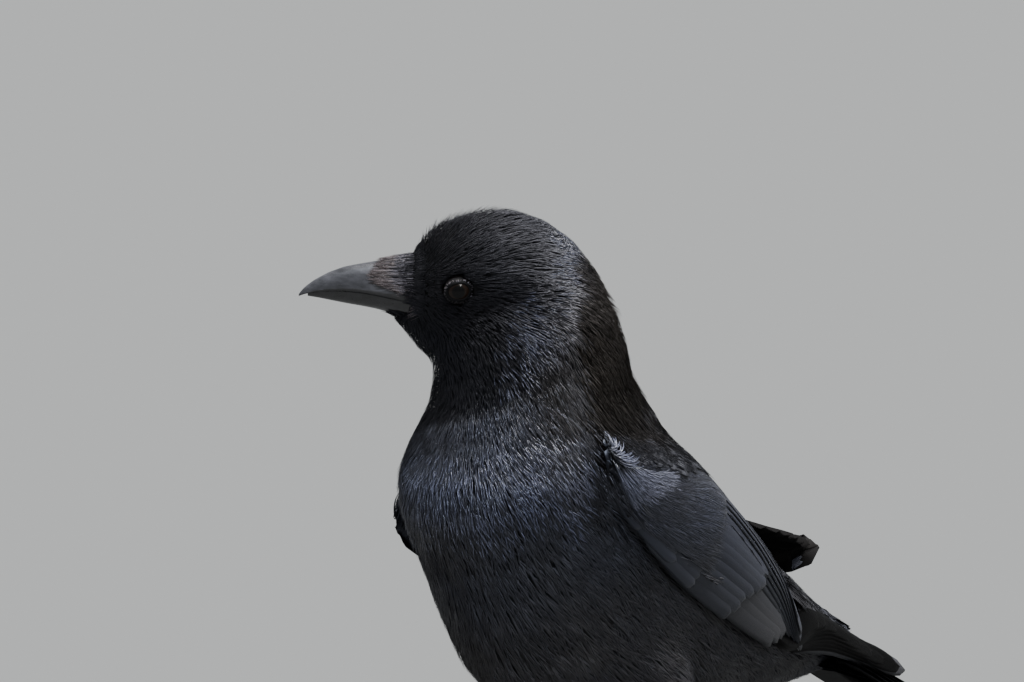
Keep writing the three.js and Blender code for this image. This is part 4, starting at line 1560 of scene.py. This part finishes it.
def tarsus_rings(side):
    """The scaled leg: broad plates in front, and two long plates that meet in a ridge behind."""
    name = f"tarsus_{side}"
    axis = long_axis(name, False)
    across = np.array((1.0, 0.0, 0.0))
    spindle = Spindle(name, axis, across, 120)
    swell, furrow = plates(spindle.at, LEG_SCUTE)
    turn = round_turns(36)
    front = np.sin(turn) * (1 if spindle.up[1] < 0 else -1)
    plated = smooth(front, 0.1, 0.5)
    middle_high = (spindle.high + spindle.low) / 2
    tall = (spindle.high - spindle.low)[:, None] / 2
    shape = 0.95 + 0.07 * swell[:, None] * plated + 0.05 * smooth(-front, 0.85, 1.0)
    wide = spindle.half[:, None] * np.cos(turn) * 0.92 * shape
    high = middle_high[:, None] + tall * np.sin(turn) * shape
    places = placed(spindle, wide, high, 0.4)
    side_furrow = 0.5 * bell(front, 0, 0.12)
    return places, np.maximum(furrow[:, None] * plated, side_furrow)


def claw_rings(side, toe):
    """A claw: curved, narrow, and ridged along its top."""
    name = f"claw_{side}_{toe}"
    spindle = digit(name, f"toe_{side}_{toe}", name, 26)
    spindle.carry_back(3.0 * MM, level=True)
    back = 1 + 0.28 * (1 - smooth(spindle.at - spindle.at[0], 0, 4.5 * MM))
    turn = round_turns(16)
    over = np.sin(turn)
    centre = (spindle.high + spindle.low)[:, None] / 2
    tall = ((spindle.high - spindle.low) * back)[:, None] / 2
    wide = (spindle.half * back)[:, None] * np.cos(turn) * (0.86 - 0.25 * np.maximum(over, 0))
    return placed(spindle, wide, centre + tall * over, 0.05)


def pad_rings(side):
    """The rounded ball where the toes meet under the leg."""
    low, high = low_high(f"tarsus_{side}")
    centre = np.array(((low[0] + high[0]) / 2, low[1] + 4.0 * MM, 4.7 * MM))
    away = np.linspace(0.05, math.pi - 0.05, 20)
    turn = round_turns(28)
    rise, level = np.cos(away)[:, None], np.sin(away)[:, None]
    ways = np.stack((level * np.cos(turn), level * np.sin(turn), rise + 0 * turn), -1)
    return centre + ways * np.array((4.9, 5.4, 4.5)) * MM


def make_foot(side, skin_look, claw_look):
    """The bare leg and toes of one side as one piece, and its four claws as another."""
    pad = pad_rings(side)
    limbs = [tarsus_rings(side), (pad, np.zeros(pad.shape[:2]))]
    limbs = limbs + [toe_rings(side, toe) for toe in TOES]
    values = {"furrow": [furrow for _, furrow in limbs]}
    made = tubes(f"foot_{side}", [rings for rings, _ in limbs], skin_look, values)
    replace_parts(made, f"tarsus_{side}", *(f"toe_{side}_{toe}" for toe in TOES))
    claws = [claw_rings(side, toe) for toe in TOES]
    made = tubes(f"claws_{side}", claws, claw_look)
    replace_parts(made, *(f"claw_{side}_{toe}" for toe in TOES))


GAPE = 0.5  # how far the lower half reaches up behind the upper half's cutting edge
# Where the halves of the bill come clear of the face and chin, ahead of the eyes, in mm.
BILL_CLEAR = {"bill_upper": 20.0, "bill_lower": 28.0}


def make_mandible(node_name, upper, look):
    """One half of the bill: a rounded ridge over a flat cutting edge, or the same upside down."""
    clear = BILL_CLEAR[node_name]
    start = from_head(clear, 0, 0) @ HEAD_AHEAD
    spindle = Spindle(node_name, HEAD_AHEAD, HEAD_LEFT, 56, start, (clear - 11.5) * MM)
    around = 48
    turn = round_turns(around)
    sign = 1 if upper else -1
    edge = spindle.low if upper else spindle.high + GAPE * MM
    ridge = spindle.high if upper else spindle.low
    tall = np.abs(ridge - edge)[:, None]
    over = np.sin(turn)
    across = np.sign(np.cos(turn)) * np.abs(np.cos(turn)) ** 0.9
    high = np.where(over > 0, np.abs(over) ** 0.95 * tall, 0.10 * tall * np.abs(over) ** 2)
    lip = 0.03 * np.exp(-((turn[None] % math.pi) ** 2) * 30) * spindle.half[:, None]
    wide = spindle.half[:, None] * across + np.sign(across) * lip * upper
    places = placed(spindle, wide, edge[:, None] + sign * high)
    made = tubes(node_name.replace("bill", "horn"), [places], look)
    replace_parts(made, node_name)
    return made


def eye_material():
    """A dark pupil in a deep brown iris, wet and clear over it."""
    made, tree, shader = material("crow_eye")
    pupil, inner, iris = (0.002, 0.002, 0.002), (0.010, 0.006, 0.004), (0.013, 0.008, 0.006)
    stops = ((0.0, pupil), (0.27, pupil), (0.30, inner), (0.50, iris), (0.58, (0.004, 0.003, 0.003)))
    colour = ramp(tree, value_of(tree, "away"), stops)
    inputs = {
        "Base Color": mixed(tree, 0.5, colour, noise(tree, 1800.0, 3.0).outputs[1], "SOFT_LIGHT"),
        "Roughness": 0.3,
        "Specular IOR Level": 0.05,
        "Coat Weight": 0.5,
        "Coat Roughness": 0.03,
        "Coat IOR": 1.33,
    }
    feed(tree, shader, inputs)
    return made


def make_eye(side, look):
    """One eyeball with a cornea that stands a little proud over the iris."""
    away = np.linspace(0.02, math.pi - 0.02, 36)
    turn = round_turns(48)
    radius = EYE_RADIUS * MM * (0.985 + 0.045 * np.exp(-((away / 0.72) ** 4)))
    places = EYES[side] + round_eye(side, away[:, None], turn) * radius[:, None, None]
    values = {"away": [np.repeat(away / 1.5, len(turn))]}
    made = tubes(f"eyeball_{side}", [places], look, values)
    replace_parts(made, f"eye_{side}")


NOSTRIL_BRISTLES, GAPE_BRISTLES = 640, 16  # on each side
LORE_LOCKS, FACE_EDGE_LOCKS, CHIN_LOCKS = 620, 420, 160
LID_LOCKS = 46


def face_arc(rng, side, count, least, wide, tall):
    """Places round half of the face, as mm to the head's left and above the eyes."""
    turn = math.radians(90) * rng.uniform(least, 1.0, count)
    return side * wide * np.cos(turn), -3.0 + tall * np.sin(turn)


def make_bristles(bill):
    """Stiff bristles over the nostrils, a few along the gape, and the lids' feather tips."""
    rng = np.random.default_rng(23)
    surface = Surface(bill.data)
    coat = Plumage("bill_bristles", BRISTLE_LOOK, "plumage_soft")
    for side in SIDES.values():
        count = NOSTRIL_BRISTLES
        level, above = face_arc(rng, side, count, -0.06, 9.5, 15.0)
        back = rng.uniform(13.5, 25.0, count) - 0.2 * np.abs(above - 6)
        root = from_head(back, level, above)
        ends = from_head(back + 12, level * 0.7, mix(above, 4.0, 0.2) - 0.6)
        bow = np.where(above > 3, 0.06, 0.42)
        front = 36.4 - bow * (above - 3.0) ** 2 + rng.uniform(-6.5, 1.2, count)
        length = np.clip(front - back, 2.0, 19.0) * MM
        lift = rng.uniform(0.1, 1.1, count) * MM
        depth = -rng.uniform(0.1, 1.0, count) * MM
        looks = (0.11, 0.21), 0.6, 1.0, rng, 1.4
        lay_strands(coat, surface, root, ends, length, depth, lift, *looks)
        count = GAPE_BRISTLES
        root = from_head(rng.uniform(12, 17, count), side * 9.0, rng.uniform(-11.5, -6.5, count))
        ends = root + from_head(7, side * 0.5, -2.5) - BETWEEN_EYES
        length = rng.uniform(3.5, 6.5, count) * MM
        lift = rng.uniform(0.3, 0.9, count) * MM
        lie = lay(body, root, ends - root, length, BRISTLE_RINGS, 0.2 * lift, lift)
        half = rng.uniform(0.10, 0.15, count)[:, None] * MM * BRISTLE_SHAPE
        coat.add(lie, half, 3, 0.6, rng.uniform(0.2, 0.9, count))
    for side in SIDES:
        add_lid_feathers(coat, side, rng)
    coat.finish()


def make_lores(bill, chin):
    """Dark feathers that lie forwards over the roots of bristles and bill, and on the chin."""
    rng = np.random.default_rng(31)
    surface, under = Surface(bill.data), Surface(chin.data)
    coat = Plumage("lore_feathers", SOFT_LOOK, "plumage_soft")
    coarse = (0.16, 0.26), 0.4, 0.7, rng
    for side in SIDES.values():
        count = LORE_LOCKS
        level, above = face_arc(rng, side, count, -0.45, 9.5, 15.0)
        back = rng.uniform(13.0, 17.0, count)
        root = from_head(back, level, above)
        ends = from_head(back + 12, level * 0.8, mix(above, 4.0, 0.15) - 0.6)
        length = rng.uniform(2.5, 7.0, count) * MM
        long = (rng.random(count) < 0.25) & (above > 0.5)
        length = np.where(long, length * 2.2, length)
        depth = -rng.uniform(0.4, 1.4, count) * MM
        lift = rng.uniform(0.3, 1.3, count) * MM
        lay_strands(coat, surface, root, ends, length, depth, lift, *coarse)
        count = FACE_EDGE_LOCKS
        level, above = face_arc(rng, side, count, -0.3, 12.0, 19.0)
        root = from_head(rng.uniform(11.5, 15.0, count), level, above)
        ends = from_head(np.full(count, 26.0), level * 0.5, mix(above, 2.0, 0.5))
        length = rng.uniform(2.5, 5.5, count) * MM
        lift = rng.uniform(0.3, 1.3, count) * MM
        depth = np.full(count, 0.3 * MM)
        lay_strands(coat, body, root, ends, length, depth, lift, (0.15, 0.24), 0.4, 0.6, rng)
        count = CHIN_LOCKS
        level = side * rng.uniform(0.0, 6.0, count)
        root = from_head(rng.uniform(22, 27, count) - 0.3 * np.abs(level), level, -12.0)
        ends = root + from_head(7, level * 0.1, 1.0) - BETWEEN_EYES
        length = rng.uniform(2.0, 5.0, count) * MM
        depth = -rng.uniform(0.3, 1.2, count) * MM
        lift = rng.uniform(0.1, 0.5, count) * MM
        lay_strands(coat, under, root, ends, length, depth, lift, *coarse)
    coat.finish()


def add_lid_feathers(coat, side, rng):
    """Tiny pale feather tips in a broken ring on the lids."""
    count = LID_LOCKS
    turn = round_turns(count) + rng.normal(0, 0.04, count)
    t = np.linspace(0, 1, len(BRISTLE_RINGS))
    away = lid_edge(turn)[:, None] + rng.uniform(0.10, 0.2, count)[:, None] + 0.16 * t
    way = round_eye(side, away, turn[:, None])
    path = EYES[side] + way * (6.5 + 0.25 * t)[:, None] * MM
    length = np.full(count, 1.0 * MM)
    aheads = unit(np.gradient(path, axis=1))
    lie = Lie(path, flat_to(way, aheads), aheads, length, skin_map(path[:, 0]))
    add_strands(coat, lie, (0.10, 0.21), 0.8, 0.75, rng, 1.5)


# ---------------------------------------------------------------- the bird, piece by piece

BILL_LOOK = horn_material("bill_horn", (0.013, 0.013, 0.014), (0.036, 0.035, 0.038), 0.29)
upper_bill = make_mandible("bill_upper", True, BILL_LOOK)
lower_bill = make_mandible("bill_lower", False, BILL_LOOK)
EYE_LOOK = eye_material()
for eye_side in SIDES:
    make_eye(eye_side, EYE_LOOK)
LEG_LOOK = leg_material()
CLAW_LOOK = horn_material("claw_horn", (0.008, 0.0075, 0.0075), (0.030, 0.028, 0.027), 0.42)
for foot_side in SIDES:
    make_foot(foot_side, LEG_LOOK, CLAW_LOOK)
make_bristles(upper_bill)
make_lores(upper_bill, lower_bill)
make_head_feathers()
make_painted_sheen()
make_contour_feathers("loose", loose_part, LOOSE_LOOKS, "plumage_soft", LOOSE_VANE, LOOSE_FRINGE, 5)
make_contour_feathers("firm", firm_part, FIRM_LOOKS, "plumage_gloss", FIRM_VANE, FIRM_FRINGE, 6)
make_shoulder_tufts()
make_covert_locks()
for wing_side in SIDES:
    make_wing(wing_side)
make_tail()


# ---------------------------------------------------------------- room, light and camera

VIEW_AZIMUTH, VIEW_HEIGHT = 35, 8  # of the camera, in degrees
CAMERA_AWAY = 7.0
LAMP_AWAY = 1.2
FLOOR_REACH = 6.0
SEEN_WIDTH = 0.4096
AIM = STAND + np.array((0.0, -69.0, 243.3)) * MM


def make_camera():
    camera = bpy.data.cameras.new("camera")
    camera.sensor_width = 36.0
    camera.lens = camera.sensor_width * CAMERA_AWAY / SEEN_WIDTH
    camera.clip_end = 100.0
    bpy.context.scene.camera = looking("camera", camera, VIEW_AZIMUTH, VIEW_HEIGHT, CAMERA_AWAY)


def looking(name, data, azimuth, elevation, distance):
    """A lamp or camera that looks at the bird from so many degrees round and above it."""
    made = new_object(name, data)
    turn, rise = math.radians(azimuth), math.radians(elevation)
    level = math.cos(rise)
    away = Vector((math.sin(turn) * level, -math.cos(turn) * level, math.sin(rise)))
    made.location = Vector(AIM) + away * distance
    made.rotation_mode = "QUATERNION"
    made.rotation_quaternion = away.to_track_quat("Z", "Y")
    return made


def lamp_of(name, kind, power, colour):
    lamp = bpy.data.lights.new(name, kind)
    lamp.energy = power
    lamp.color = colour
    return lamp


def make_room():
    floor = bpy.data.meshes.new("floor")
    corners = [(FLOOR_REACH * x, FLOOR_REACH * y, 0) for x, y in ((-1, -1), (1, -1), (1, 1), (-1, 1))]
    floor.from_pydata(corners, [], [(0, 1, 2, 3)])
    made = new_object("floor", floor)
    look, tree, shader = material("pale_floor")
    feed(tree, shader, {"Base Color": (0.80, 0.81, 0.80, 1), "Roughness": 0.9})
    floor.materials.append(look)
    made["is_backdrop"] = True
    world = bpy.data.worlds.new("studio")
    world.use_nodes = True
    sky = world.node_tree.nodes["Background"]
    sky.inputs[0].default_value = (0.93, 0.96, 1.0, 1)
    sky.inputs[1].default_value = 0.38
    bpy.context.scene.world = world
    sun = lamp_of("soft_sun", "SUN", 1.3, (1.0, 0.99, 0.97))
    sun.angle = math.radians(20)
    looking("soft_sun", sun, 60, 62, 1.0)
    for name, azimuth, elevation, size, power, colour, parts in BIRD_LAMPS:
        lit = bpy.data.collections.new("lit_by_" + name)
        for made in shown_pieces():
            if made.name.startswith(parts) and not made.name.startswith(SHADED):
                lit.objects.link(made)
        lamp = lamp_of(name, "AREA", power, colour)
        lamp.shape = "SQUARE"
        lamp.size = size
        made = looking(name, lamp, azimuth, elevation, LAMP_AWAY)
        made.light_linking.receiver_collection = lit


PLAIN = (1.0, 0.99, 0.98)
SKY_BLUE = (0.84, 0.90, 1.0)
SHADED = ("tail", "wing_left_primary", "wing_right_primary")
# Lamps that light parts of the bird: name, degrees round and above it, size in m, power in
# W, colour, and how the names of the parts that it lights begin.
BIRD_LAMPS = (
    ("key", 148, 50, 0.36, 60, PLAIN, ("",)),
    ("top", 200, 80, 0.30, 24, PLAIN, ("",)),
    ("breast", 50, 24, 0.30, 38, SKY_BLUE, ("loose_barbs_1", "sheen")),
    ("wing", 75, 68, 0.25, 19, (0.74, 0.84, 1.0), ("wing_left",)),
    ("shoulder", 150, 80, 0.25, 48, SKY_BLUE, ("shoulder",)),
    ("bill", 50, 73, 0.16, 60, SKY_BLUE, ("horn",)),
    ("bristles", 50, 73, 0.16, 40, SKY_BLUE, ("bill_bristles",)),
    ("eye", 62, 50, 0.10, 7, PLAIN, ("eyeball",)),
)

make_camera()
make_room()
